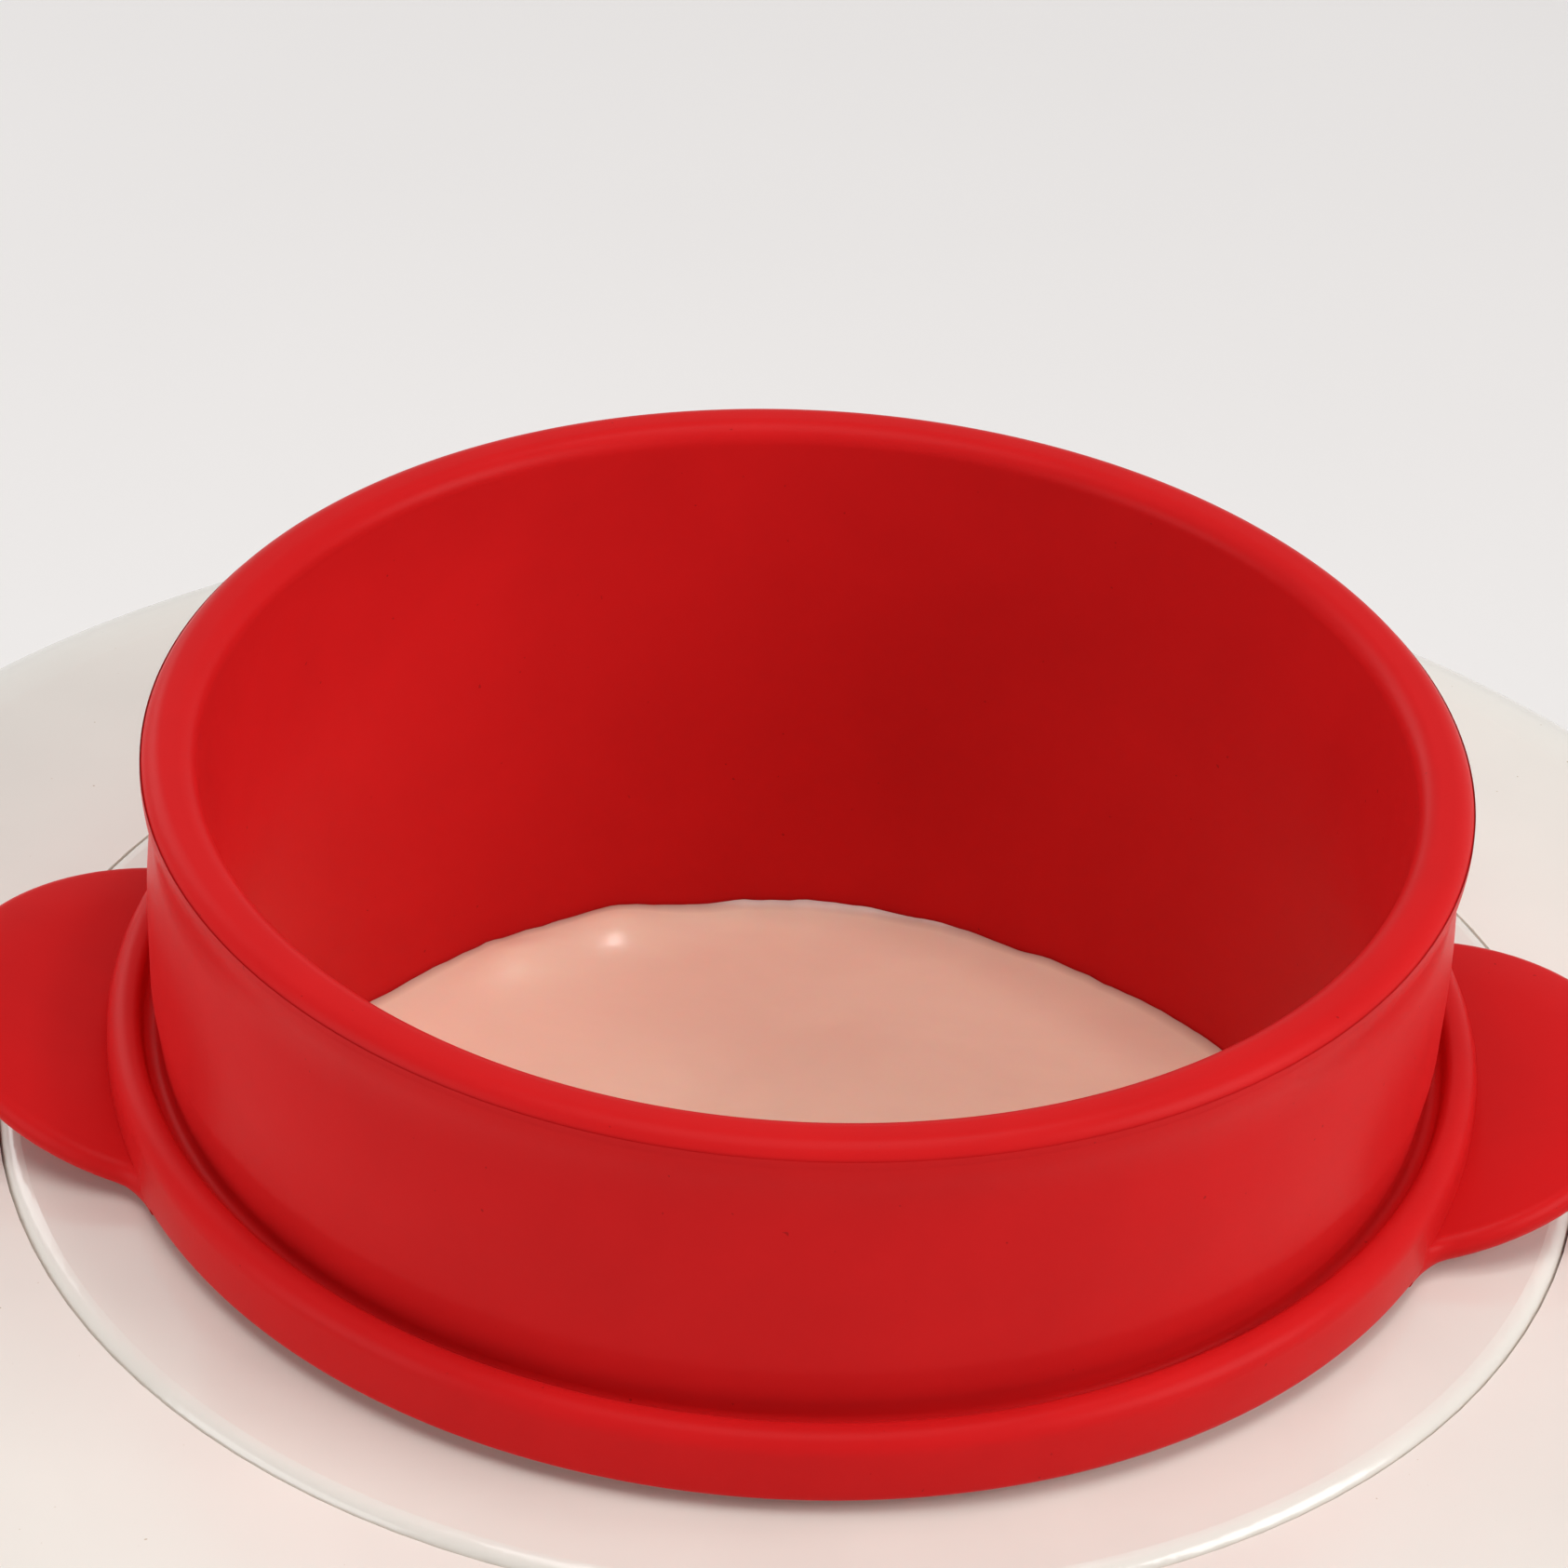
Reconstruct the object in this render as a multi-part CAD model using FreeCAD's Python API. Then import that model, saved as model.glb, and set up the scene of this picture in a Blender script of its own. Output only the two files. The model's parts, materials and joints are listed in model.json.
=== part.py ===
import FreeCAD, Part
import math
import os

# Wax warmer with a lift-out silicone pot, in millimetres.
# The origin is on the table under the pot's axis. +Z is up, the ears lie along X and the knob faces -Y.

# Silicone pot
RIM_RADIUS = 50.0
RIM_WIDTH = 4.2
RIM_HEIGHT = 4.6
RIM_ROUND = 1.5
COLLAR_INSET = 0.8
COLLAR_HEIGHT = 26.1
POT_WALL = 2.8
POT_DRAFT = 3.0
FLANGE_REACH = 3.3
FLANGE_THICKNESS = 2.2
FLANGE_ROUND = 1.9
CREASE_ROUND = 1.5
LIP_THICKNESS = 1.8
LIP_DROP = 3.6
LIP_ROUND = 0.5
BOWL_DEPTH = 48.5
BOWL_FLOOR = 2.8
BOWL_CORNER = 9.0
EAR_RADIUS = 20.5
EAR_REACH = 13.1
EAR_THICKNESS = 2.2
EAR_RISE = 11.0
EAR_LIFT = 0.1
EAR_BLEND = 5.0
EAR_ROUND = 0.8

# Wax
WAX_DEPTH = 26.4
WAX_GAP = 0.1

# Clearances
POT_CLEARANCE = 0.4
POT_FLOOR_GAP = 0.5
LIP_CLEARANCE = 0.3
LIP_GAP = 1.0
ASSEMBLY_GAP = 0.3
CONTACT_GAP = 0.1
SHAFT_CLEARANCE = 0.05

# Aluminium well, its heater and its gasket
WELL_WALL = 1.5
WELL_FLANGE_THICKNESS = 1.2
WELL_OVERLAP = 4.0
GASKET_THICKNESS = 1.0
BAND_THICKNESS = 1.6
BAND_WIDTH = 22.0
BAND_DROP = 2.4
BAND_PASS = 1.2
BAND_OPENING = 9.0
CLAMP_EAR_THICKNESS = 1.6
CLAMP_EAR_REACH = 7.0
CLAMP_EAR_HEIGHT = 10.0
CLAMP_BOLT_RADIUS = 1.5
FELT_THICKNESS = 3.2
FELT_OPENING = 26.0

# Collar ring
RING_HEIGHT = 6.8
RING_BEARING = 5.2
RING_FALL = 1.0
RING_ROUND = 1.6
RIB_ROUND = 0.6
RING_SCREW_RADIUS = 1.1
RING_BOSS_WALL = 1.2
RING_BOSS_SHORT = 0.2
RING_SCREW_COUNT = 4

# Housing
SHELL_WALL = 2.6
RECESS_DEPTH = 2.7
DECK_WIDTH = 33.6
DECK_SLOPE = 2.5
SHOULDER_RADIUS = 12.0
PANEL_INSET = 8.0
SIDE_FLARE = 1.3
UNDERFLOOR = 32.0
POST_RADIUS = 4.0
POST_INSET = 9.6
POST_ROOT = 1.0
POST_ANGLES = (45, 135, 225, 315)

# Base
FOOT_HEIGHT = 3.0
FOOT_RADIUS = 8.0
FOOT_INSET = 12.0
FOOT_ROUND = 1.0
FOOT_STEM_RADIUS = 3.0
FOOT_STEM_EXTRA = 1.5
FOOT_ANGLES = (0, 90, 180, 270)
BASE_THICKNESS = 2.5
PLINTH_HEIGHT = 4.0
PLINTH_REACH = 1.5
PLINTH_ROUND = 1.0
UPSTAND_HEIGHT = 5.0
UPSTAND_WALL = 2.0
BASE_BOSS_HEIGHT = 4.0
BASE_BOSS_RADIUS = 5.5
BASE_SCREW_RADIUS = 1.45
BASE_SCREW_GRIP = 12.0
COUNTERBORE_DEPTH = 3.0
VENT_COUNT = 16
VENT_START = 40.0
VENT_LENGTH = 11.0
VENT_WIDTH = 2.4

# Screw heads
HEAD_OVERHANG = 1.35
HEAD_HEIGHT = 1.8
CROSS_WIDTH = 0.7
CROSS_DEPTH = 0.8

# Thermostat, dial and knob
THERMOSTAT_SIZE = 24.0
THERMOSTAT_DEPTH = 14.0
THERMOSTAT_DROP = 2.0
THERMOSTAT_ROUND = 2.0
BUSHING_RADIUS = 5.0
BUSHING_EXTRA = 0.6
NUT_THICKNESS = 2.4
NUT_WIDTH = 14.0
SHAFT_RADIUS = 3.0
SHAFT_INSERTION = 8.0
DIAL_RADIUS = 25.0
DIAL_THICKNESS = 2.0
DIAL_RECESS = 1.2
DIAL_ROUND = 0.6
LAMP_RISE = 28.0
LAMP_LOBE = 9.0
KNOB_RADIUS = 17.0
KNOB_DEPTH = 10.3
KNOB_GAP = 0.5
KNOB_SKIRT = 2.5
KNOB_STEP = 2.4
KNOB_TAPER = 1.0
KNOB_ROUND = 1.2
KNOB_FACE = 2.5
KNOB_HOLLOW_RADIUS = 9.0
KNOB_HOLLOW_DEPTH = 4.0
FLUTE_COUNT = 20
FLUTE_RADIUS = 1.2
POINTER_WIDTH = 1.6
POINTER_DEPTH = 0.6
POINTER_PROUD = 0.3
POINTER_START = 3.0
POINTER_LENGTH = 9.0
POINTER_ANGLE = 225.0
LENS_RADIUS = 3.0
LENS_RIM = 1.2
LENS_RIM_HEIGHT = 0.8
LENS_DOME = 1.2
LAMP_FLANGE_THICKNESS = 1.0
LAMP_RADIUS = 2.8
LAMP_LENGTH = 5.5

# Blade terminals
BLADE_WIDTH = 6.3
BLADE_THICKNESS = 0.8
BLADE_LENGTH = 6.0
BLADE_SPACING = 12.0

# Sensor, fuse and their clips under the well
BULB_RADIUS = 2.5
BULB_LENGTH = 34.0
BULB_Y = -8.0
CAPILLARY_RADIUS = 0.8
CAPILLARY_RUN = 8.0
FUSE_RADIUS = 2.0
FUSE_LENGTH = 12.0
FUSE_WIRE_RADIUS = 0.5
FUSE_WIRE_LENGTH = 5.0
FUSE_Y = 14.0
CLIP_THICKNESS = 0.6
CLIP_FOOT = 5.0
CLIP_WIDTH = 7.0

# Rear panel: mains inlet and power switch
REAR_HEIGHT = 17.5
INLET_X = -16.0
INLET_PITCH = 8.6
INLET_CAVITY_RADIUS = 4.2
INLET_CAVITY_SPAN = 7.6
INLET_CAVITY_DEPTH = 13.0
INLET_WALL = 1.6
INLET_BACK = 3.0
BEZEL_REACH = 2.0
BEZEL_THICKNESS = 2.0
PIN_RADIUS = 1.2
PIN_SHORT = 2.5
PIN_TAIL = 5.0
SWITCH_X = 16.0
ROCKER_LENGTH = 17.0
ROCKER_WIDTH = 11.0
ROCKER_RISE = 2.6
ROCKER_DISH = 1.6
ROCKER_FLOOR = 4.0
ROCKER_TAPER = 2.0
ROCKER_TILT = 9.0
ROCKER_SWING_ROOM = 0.9
ROCKER_SIDE_GAP = 0.3
PIVOT_DEPTH = 2.0
PIVOT_RADIUS = 1.0
PIVOT_LENGTH = 1.0
SWITCH_WALL = 1.6
SWITCH_DEPTH = 14.0
SWITCH_POCKET_DEPTH = 7.0
SWITCH_BLADE_SPACING = 10.0

# Terminal block and wiring
BLOCK_LENGTH = 34.0
BLOCK_WIDTH = 14.0
BLOCK_HEIGHT = 12.0
BLOCK_Y = 20.0
BLOCK_HOLE_RADIUS = 2.0
BLOCK_HOLE_DEPTH = 5.0
BLOCK_POLES = 3
BLOCK_PITCH = 10.0
LEAD_RADIUS = 1.2
LEAD_RUN = 9.0
LEAD_CLEARANCE = 3.6
ARC_SHARE = 0.45

# Levels, from the table up
BASE_Z = FOOT_HEIGHT
BASE_TOP_Z = BASE_Z + BASE_THICKNESS
PLINTH_Z = BASE_Z + PLINTH_HEIGHT
POST_Z = BASE_TOP_Z + BASE_BOSS_HEIGHT
WELL_Z = BASE_TOP_Z + UNDERFLOOR
POT_Z = WELL_Z + WELL_WALL + POT_FLOOR_GAP
SEAT_Z = POT_Z + BOWL_DEPTH
RIM_Z = SEAT_Z + COLLAR_HEIGHT
POT_FLOOR_Z = POT_Z + BOWL_FLOOR
WELL_TOP_Z = SEAT_Z - RING_HEIGHT
LEDGE_Z = WELL_TOP_Z - WELL_FLANGE_THICKNESS - GASKET_THICKNESS
CEILING_Z = LEDGE_Z - SHELL_WALL
DECK_Z = LEDGE_Z + RECESS_DEPTH
BAND_TOP_Z = CEILING_Z - BAND_DROP
BAND_Z = BAND_TOP_Z - BAND_WIDTH
KNOB_Z = BAND_Z - THERMOSTAT_DROP - THERMOSTAT_SIZE / 2
LAMP_Z = KNOB_Z + LAMP_RISE
REAR_Z = PLINTH_Z + REAR_HEIGHT


def pot_inside(z):
    """Radius of the pot's inner wall at a level."""
    return RIM_RADIUS - RIM_WIDTH - (RIM_Z - z) * math.tan(math.radians(POT_DRAFT))


def pot_outside(z):
    """Radius of the bowl's outer wall, below the flange."""
    return pot_inside(z) + POT_WALL


def well_inside(z):
    return pot_outside(z) + POT_CLEARANCE


def well_outside(z):
    return well_inside(z) + WELL_WALL


def band_outside(z):
    return well_outside(z) + CONTACT_GAP + BAND_THICKNESS


# Radii
COLLAR_RADIUS = RIM_RADIUS - COLLAR_INSET
LIP_RADIUS = COLLAR_RADIUS + FLANGE_REACH
LIP_INSIDE = LIP_RADIUS - LIP_THICKNESS
RIB_OUTSIDE = LIP_INSIDE - LIP_CLEARANCE
RIB_INSIDE = pot_outside(SEAT_Z) + POT_CLEARANCE
DECK_HOLE = band_outside(BAND_TOP_Z) + BAND_PASS
WELL_FLANGE_RADIUS = DECK_HOLE + WELL_OVERLAP
BEARING_INSIDE = WELL_FLANGE_RADIUS + ASSEMBLY_GAP
RING_RADIUS = BEARING_INSIDE + RING_BEARING
RING_SCREW_CIRCLE = BEARING_INSIDE + RING_BEARING / 2
RECESS_RADIUS = RING_RADIUS + CONTACT_GAP
BODY_RADIUS = RECESS_RADIUS + DECK_WIDTH
BODY_FOOT_RADIUS = BODY_RADIUS + SIDE_FLARE
PLINTH_RADIUS = BODY_FOOT_RADIUS + PLINTH_REACH
FELT_INSIDE = band_outside(BAND_TOP_Z) + ASSEMBLY_GAP
POST_CIRCLE = BODY_RADIUS - SHELL_WALL - POST_INSET
FOOT_CIRCLE = BODY_RADIUS - FOOT_INSET

# Front and rear panels are flats at the same distance from the axis
PANEL = BODY_RADIUS - PANEL_INSET
PANEL_INSIDE = PANEL - SHELL_WALL
DIAL_BACK = PANEL - DIAL_RECESS
DIAL_FACE = DIAL_BACK + DIAL_THICKNESS
NUT_FACE = DIAL_FACE + NUT_THICKNESS
KNOB_BACK = DIAL_FACE + KNOB_GAP
KNOB_FRONT = KNOB_BACK + KNOB_DEPTH
SHAFT_END = KNOB_FRONT - KNOB_FACE

# Power switch
POCKET_HALF_LENGTH = ROCKER_LENGTH / 2 + ROCKER_SWING_ROOM
POCKET_HALF_WIDTH = ROCKER_WIDTH / 2 + ROCKER_SIDE_GAP
SWITCH_HALF_LENGTH = POCKET_HALF_LENGTH + SWITCH_WALL
SWITCH_HALF_WIDTH = POCKET_HALF_WIDTH + SWITCH_WALL
PIVOT_Y = PANEL - PIVOT_DEPTH

# Places that differ by less than this are the same place
TOLERANCE = 0.001

UP = FreeCAD.Vector(0, 0, 1)
FRONT = FreeCAD.Vector(0, -1, 0)
REAR = FreeCAD.Vector(0, 1, 0)


def point(x, y, z):
    return FreeCAD.Vector(x, y, z)


def around(radius, degrees, z):
    """A point on a level circle about the axis."""
    angle = math.radians(degrees)
    return point(radius * math.cos(angle), radius * math.sin(angle), z)


def rod(radius, start, end):
    """A round bar between two points."""
    along = end - start
    return Part.makeCylinder(radius, along.Length, start, along)


def block(low, high):
    """A box between two corners."""
    size = high - low
    return Part.makeBox(size.x, size.y, size.z, low)


def tube(outside, inside, low, high):
    """An upright ring with square edges."""
    outer = rod(outside, point(0, 0, low), point(0, 0, high))
    return outer.cut(rod(inside, point(0, 0, low), point(0, 0, high)))


def revolve(outline):
    """Turn a list of (radius, level) points about the axis."""
    points = [point(r, 0, z) for r, z in outline]
    face = Part.Face(Part.makePolygon(points + points[:1]))
    return face.revolve(point(0, 0, 0), UP, 360)


def round_rings(solid, radius, rings):
    """Round the circular edges that lie at the given (radius, level) places."""
    edges = []
    for r, z in rings:
        for edge in solid.Edges:
            if not isinstance(edge.Curve, Part.Circle):
                continue
            if abs(edge.Curve.Radius - r) < TOLERANCE and abs(edge.Curve.Center.z - z) < TOLERANCE:
                edges.append(edge)
    return solid.makeFillet(radius, edges)


def round_along(solid, radius, direction):
    """Round the straight edges that run along a direction."""
    edges = []
    for edge in solid.Edges:
        if not isinstance(edge.Curve, Part.Line):
            continue
        if edge.tangentAt(edge.FirstParameter).cross(direction).Length < TOLERANCE:
            edges.append(edge)
    return solid.makeFillet(radius, edges)


def cup(low, high, wall_radius, corner):
    """A solid tapered drum whose lower edge is rounded."""
    outline = [(0, low), (wall_radius(low), low), (wall_radius(high), high), (0, high)]
    return round_rings(revolve(outline), corner, [(wall_radius(low), low)])


def fuse_all(first, others):
    return first.multiFuse(others).removeSplitter()


def screw(seat, direction, shank_radius, grip):
    """A cross-head screw whose head lies under its seat and whose shank runs along the direction."""
    head_radius = shank_radius + HEAD_OVERHANG
    head_end = seat - direction * HEAD_HEIGHT
    body = rod(head_radius, head_end, seat).fuse(rod(shank_radius, seat, seat + direction * grip))
    side = direction.cross(point(1, 0, 0))
    if side.Length < 0.5:
        side = direction.cross(UP)
    arm = head_radius - HEAD_OVERHANG / 3
    recess_floor = head_end + direction * CROSS_DEPTH
    for across in (side, direction.cross(side)):
        corners = []
        normal = direction.cross(across)
        for a, b in ((-1, -1), (1, -1), (1, 1), (-1, 1)):
            corners.append(recess_floor + across * (a * arm) + normal * (b * CROSS_WIDTH / 2))
        slot = Part.Face(Part.makePolygon(corners + corners[:1]))
        body = body.cut(slot.extrude(direction * (-2 * CROSS_DEPTH)))
    return body


def stadium(half_span, radius, x, z, y_from, y_to):
    """A flat-sided round-ended bar along Y, lying on its side."""
    left = rod(radius, point(x - half_span, y_from, z), point(x - half_span, y_to, z))
    right = rod(radius, point(x + half_span, y_from, z), point(x + half_span, y_to, z))
    middle = block(point(x - half_span, y_from, z - radius), point(x + half_span, y_to, z + radius))
    return fuse_all(left, [right, middle])


def route(points, radius):
    """A round lead along straight runs that are joined by wide tangent arcs."""
    points = [point(*p) for p in points]
    edges = []
    start = points[0]
    for before, corner, after in zip(points, points[1:], points[2:]):
        arriving = corner - before
        leaving = after - corner
        setback = ARC_SHARE * min(arriving.Length, leaving.Length)
        arriving.normalize()
        leaving.normalize()
        enter = corner - arriving * setback
        leave = corner + leaving * setback
        half_turn = arriving.getAngle(leaving) / 2
        bend = setback / math.tan(half_turn)
        inward = (leaving - arriving).normalize()
        middle = corner + inward * (bend / math.cos(half_turn) - bend)
        edges.append(Part.LineSegment(start, enter).toShape())
        edges.append(Part.Arc(enter, middle, leave).toShape())
        start = leave
    edges.append(Part.LineSegment(start, points[-1]).toShape())
    path = Part.Wire(edges)
    section = Part.Wire(Part.Circle(points[0], points[1] - points[0], radius).toShape())
    lead = Part.Solid(path.makePipeShell([section], True, False))
    return lead


def ear_outline():
    """The ear's plan: a round tab blended into the lip by two hollow arcs."""
    centre = LIP_RADIUS + EAR_REACH - EAR_RADIUS
    lip_reach = LIP_RADIUS + EAR_BLEND
    ear_reach = EAR_RADIUS + EAR_BLEND
    blend_x = (lip_reach ** 2 - ear_reach ** 2 + centre ** 2) / (2 * centre)
    blend_y = math.sqrt(lip_reach ** 2 - blend_x ** 2)
    root = LIP_RADIUS - LIP_THICKNESS / 2
    root_x = blend_x * root / lip_reach
    root_y = blend_y * root / lip_reach
    lip_x = blend_x * LIP_RADIUS / lip_reach
    lip_y = blend_y * LIP_RADIUS / lip_reach
    tab_x = centre + (blend_x - centre) * EAR_RADIUS / ear_reach
    tab_y = blend_y * EAR_RADIUS / ear_reach
    hollow = point(lip_x + tab_x - 2 * blend_x, lip_y + tab_y - 2 * blend_y, 0).normalize() * EAR_BLEND
    mid_x = blend_x + hollow.x
    mid_y = blend_y + hollow.y
    edges = [
        Part.LineSegment(point(root_x, -root_y, 0), point(lip_x, -lip_y, 0)),
        Part.Arc(point(lip_x, -lip_y, 0), point(mid_x, -mid_y, 0), point(tab_x, -tab_y, 0)),
        Part.Arc(point(tab_x, -tab_y, 0), point(centre + EAR_RADIUS, 0, 0), point(tab_x, tab_y, 0)),
        Part.Arc(point(tab_x, tab_y, 0), point(mid_x, mid_y, 0), point(lip_x, lip_y, 0)),
        Part.LineSegment(point(lip_x, lip_y, 0), point(root_x, root_y, 0)),
        Part.Arc(point(root_x, root_y, 0), point(root, 0, 0), point(root_x, -root_y, 0)),
    ]
    return Part.Face(Part.Wire([edge.toShape() for edge in edges]))


def ear():
    """A thin tab that rises outwards from the lip, with its edges rounded."""
    hinge = point(LIP_INSIDE, 0, SEAT_Z - LIP_DROP + EAR_LIFT)
    reach = 2 * EAR_RADIUS
    column = ear_outline().extrude(UP * (2 * reach))
    column.translate(point(0, 0, hinge.z - reach))
    slab = block(hinge - point(reach, reach, 0), hinge + point(reach, reach, EAR_THICKNESS))
    slab.rotate(hinge, REAR, -EAR_RISE)
    tab = column.common(slab)
    lean = math.radians(EAR_RISE)
    normal = point(-math.sin(lean), 0, math.cos(lean))
    edges = []
    for edge in tab.Edges:
        middle = edge.valueAt((edge.FirstParameter + edge.LastParameter) / 2)
        height = (middle - hinge).dot(normal)
        on_a_face = min(abs(height), abs(height - EAR_THICKNESS)) < TOLERANCE
        if on_a_face and math.hypot(middle.x, middle.y) > LIP_RADIUS + TOLERANCE:
            edges.append(edge)
    return tab.makeFillet(EAR_ROUND, edges)


def silicone_pot():
    floor_z = POT_FLOOR_Z
    bead_z = RIM_Z - RIM_HEIGHT
    flange_z = SEAT_Z + FLANGE_THICKNESS
    lip_z = SEAT_Z - LIP_DROP
    inner_corner = max(BOWL_CORNER - POT_WALL, POT_WALL)
    outline = [
        (0, POT_Z),
        (pot_outside(POT_Z), POT_Z),
        (pot_outside(SEAT_Z), SEAT_Z),
        (LIP_INSIDE, SEAT_Z),
        (LIP_INSIDE, lip_z),
        (LIP_RADIUS, lip_z),
        (LIP_RADIUS, flange_z),
        (COLLAR_RADIUS, flange_z),
        (COLLAR_RADIUS, bead_z),
        (RIM_RADIUS, bead_z + COLLAR_INSET),
        (RIM_RADIUS, RIM_Z),
        (pot_inside(RIM_Z), RIM_Z),
        (pot_inside(floor_z), floor_z),
        (0, floor_z),
    ]
    pot = revolve(outline)
    pot = round_rings(pot, RIM_ROUND, [(RIM_RADIUS, RIM_Z), (pot_inside(RIM_Z), RIM_Z)])
    pot = round_rings(pot, COLLAR_INSET, [(RIM_RADIUS, bead_z + COLLAR_INSET), (COLLAR_RADIUS, bead_z)])
    pot = round_rings(pot, CREASE_ROUND, [(COLLAR_RADIUS, flange_z)])
    pot = round_rings(pot, FLANGE_ROUND, [(LIP_RADIUS, flange_z)])
    pot = round_rings(pot, LIP_ROUND, [(LIP_RADIUS, lip_z), (LIP_INSIDE, lip_z)])
    pot = round_rings(pot, BOWL_CORNER, [(pot_outside(POT_Z), POT_Z)])
    pot = round_rings(pot, inner_corner, [(pot_inside(floor_z), floor_z)])
    right = ear()
    left = right.copy()
    left.rotate(point(0, 0, 0), UP, 180)
    return fuse_all(pot, [right, left])


def wax_fill():
    low = POT_FLOOR_Z + WAX_GAP
    inner_corner = max(BOWL_CORNER - POT_WALL, POT_WALL)
    return cup(low, POT_FLOOR_Z + WAX_DEPTH, lambda z: pot_inside(z) - WAX_GAP, inner_corner)


def heating_well():
    inner_floor = WELL_Z + WELL_WALL
    outer = cup(WELL_Z, WELL_TOP_Z, well_outside, BOWL_CORNER + WELL_WALL)
    flange_z = WELL_TOP_Z - WELL_FLANGE_THICKNESS
    flange = tube(WELL_FLANGE_RADIUS, well_inside(flange_z), flange_z, WELL_TOP_Z)
    return outer.fuse(flange).cut(cup(inner_floor, WELL_TOP_Z, well_inside, BOWL_CORNER)).removeSplitter()


def well_gasket():
    return tube(WELL_FLANGE_RADIUS, DECK_HOLE, LEDGE_Z, LEDGE_Z + GASKET_THICKNESS)


def heater_band():
    """A band round the well, open at the rear, with a clamp ear each side of the opening."""
    outline = [
        (well_outside(BAND_Z) + CONTACT_GAP, BAND_Z),
        (band_outside(BAND_Z), BAND_Z),
        (band_outside(BAND_TOP_Z), BAND_TOP_Z),
        (well_outside(BAND_TOP_Z) + CONTACT_GAP, BAND_TOP_Z),
    ]
    reach = band_outside(BAND_TOP_Z) + CLAMP_EAR_REACH
    half = BAND_OPENING / 2
    gap = block(point(-half, 0, BAND_Z), point(half, reach, BAND_TOP_Z))
    middle_z = (BAND_Z + BAND_TOP_Z) / 2
    ears = []
    for side in (-1, 1):
        near = min(side * half, side * (half + CLAMP_EAR_THICKNESS))
        low = point(near, band_outside(BAND_Z) - BAND_THICKNESS / 2, middle_z - CLAMP_EAR_HEIGHT / 2)
        high = point(near + CLAMP_EAR_THICKNESS, reach, middle_z + CLAMP_EAR_HEIGHT / 2)
        ears.append(block(low, high))
    band = fuse_all(revolve(outline).cut(gap), ears)
    hole = CLAMP_BOLT_RADIUS + SHAFT_CLEARANCE
    return band.cut(rod(hole, clamp_bolt_place(-BAND_OPENING), clamp_bolt_place(BAND_OPENING)))


def clamp_bolt_place(x):
    """A point on the band's clamp bolt."""
    return point(x, band_outside(BAND_TOP_Z) + CLAMP_EAR_REACH / 2, (BAND_Z + BAND_TOP_Z) / 2)


def band_screw():
    """The bolt that draws the band's ears together, with its square nut."""
    outside = BAND_OPENING / 2 + CLAMP_EAR_THICKNESS
    grip = 2 * outside + 2 * HEAD_HEIGHT
    bolt = screw(clamp_bolt_place(-outside), point(1, 0, 0), CLAMP_BOLT_RADIUS, grip)
    half = CLAMP_BOLT_RADIUS + HEAD_OVERHANG
    corner = clamp_bolt_place(outside)
    nut = block(corner - point(0, half, half), corner + point(HEAD_HEIGHT, half, half))
    return bolt.fuse(nut).removeSplitter()


def insulation_wrap():
    felt = tube(FELT_INSIDE + FELT_THICKNESS, FELT_INSIDE, BAND_Z, BAND_TOP_Z)
    half = FELT_OPENING / 2
    reach = FELT_INSIDE + 2 * FELT_THICKNESS
    return felt.cut(block(point(-half, 0, BAND_Z), point(half, reach, BAND_TOP_Z)))


def ring_screw_angles():
    return [360.0 * i / RING_SCREW_COUNT for i in range(RING_SCREW_COUNT)]


def collar_ring():
    """The pale ring that clamps the well's flange and carries the pot on its rib."""
    brim_z = SEAT_Z - LIP_DROP - LIP_GAP
    edge_z = brim_z - RING_FALL
    outline = [
        (RIB_INSIDE, WELL_TOP_Z),
        (RIB_INSIDE, SEAT_Z),
        (RIB_OUTSIDE, SEAT_Z),
        (RIB_OUTSIDE, brim_z),
        (RING_RADIUS, edge_z),
        (RING_RADIUS, LEDGE_Z),
        (BEARING_INSIDE, LEDGE_Z),
        (BEARING_INSIDE, WELL_TOP_Z),
    ]
    ring = revolve(outline)
    ring = round_rings(ring, RING_ROUND, [(RING_RADIUS, edge_z)])
    ring = round_rings(ring, RIB_ROUND, [(RIB_INSIDE, SEAT_Z), (RIB_OUTSIDE, SEAT_Z), (RIB_OUTSIDE, brim_z)])
    boss_end = CEILING_Z + RING_BOSS_SHORT
    boss_radius = RING_SCREW_RADIUS + RING_BOSS_WALL
    pilot = RING_SCREW_RADIUS + SHAFT_CLEARANCE
    bosses = []
    pilots = []
    for angle in ring_screw_angles():
        low = around(RING_SCREW_CIRCLE, angle, boss_end)
        bosses.append(rod(boss_radius, low, around(RING_SCREW_CIRCLE, angle, LEDGE_Z)))
        pilots.append(rod(pilot, low, around(RING_SCREW_CIRCLE, angle, LEDGE_Z + RECESS_DEPTH / 2)))
    return fuse_all(ring, bosses).cut(pilots)


def collar_screws():
    grip = LEDGE_Z - CEILING_Z
    seats = [around(RING_SCREW_CIRCLE, angle, CEILING_Z) for angle in ring_screw_angles()]
    return Part.Compound([screw(seat, UP, RING_SCREW_RADIUS, grip) for seat in seats])


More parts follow.
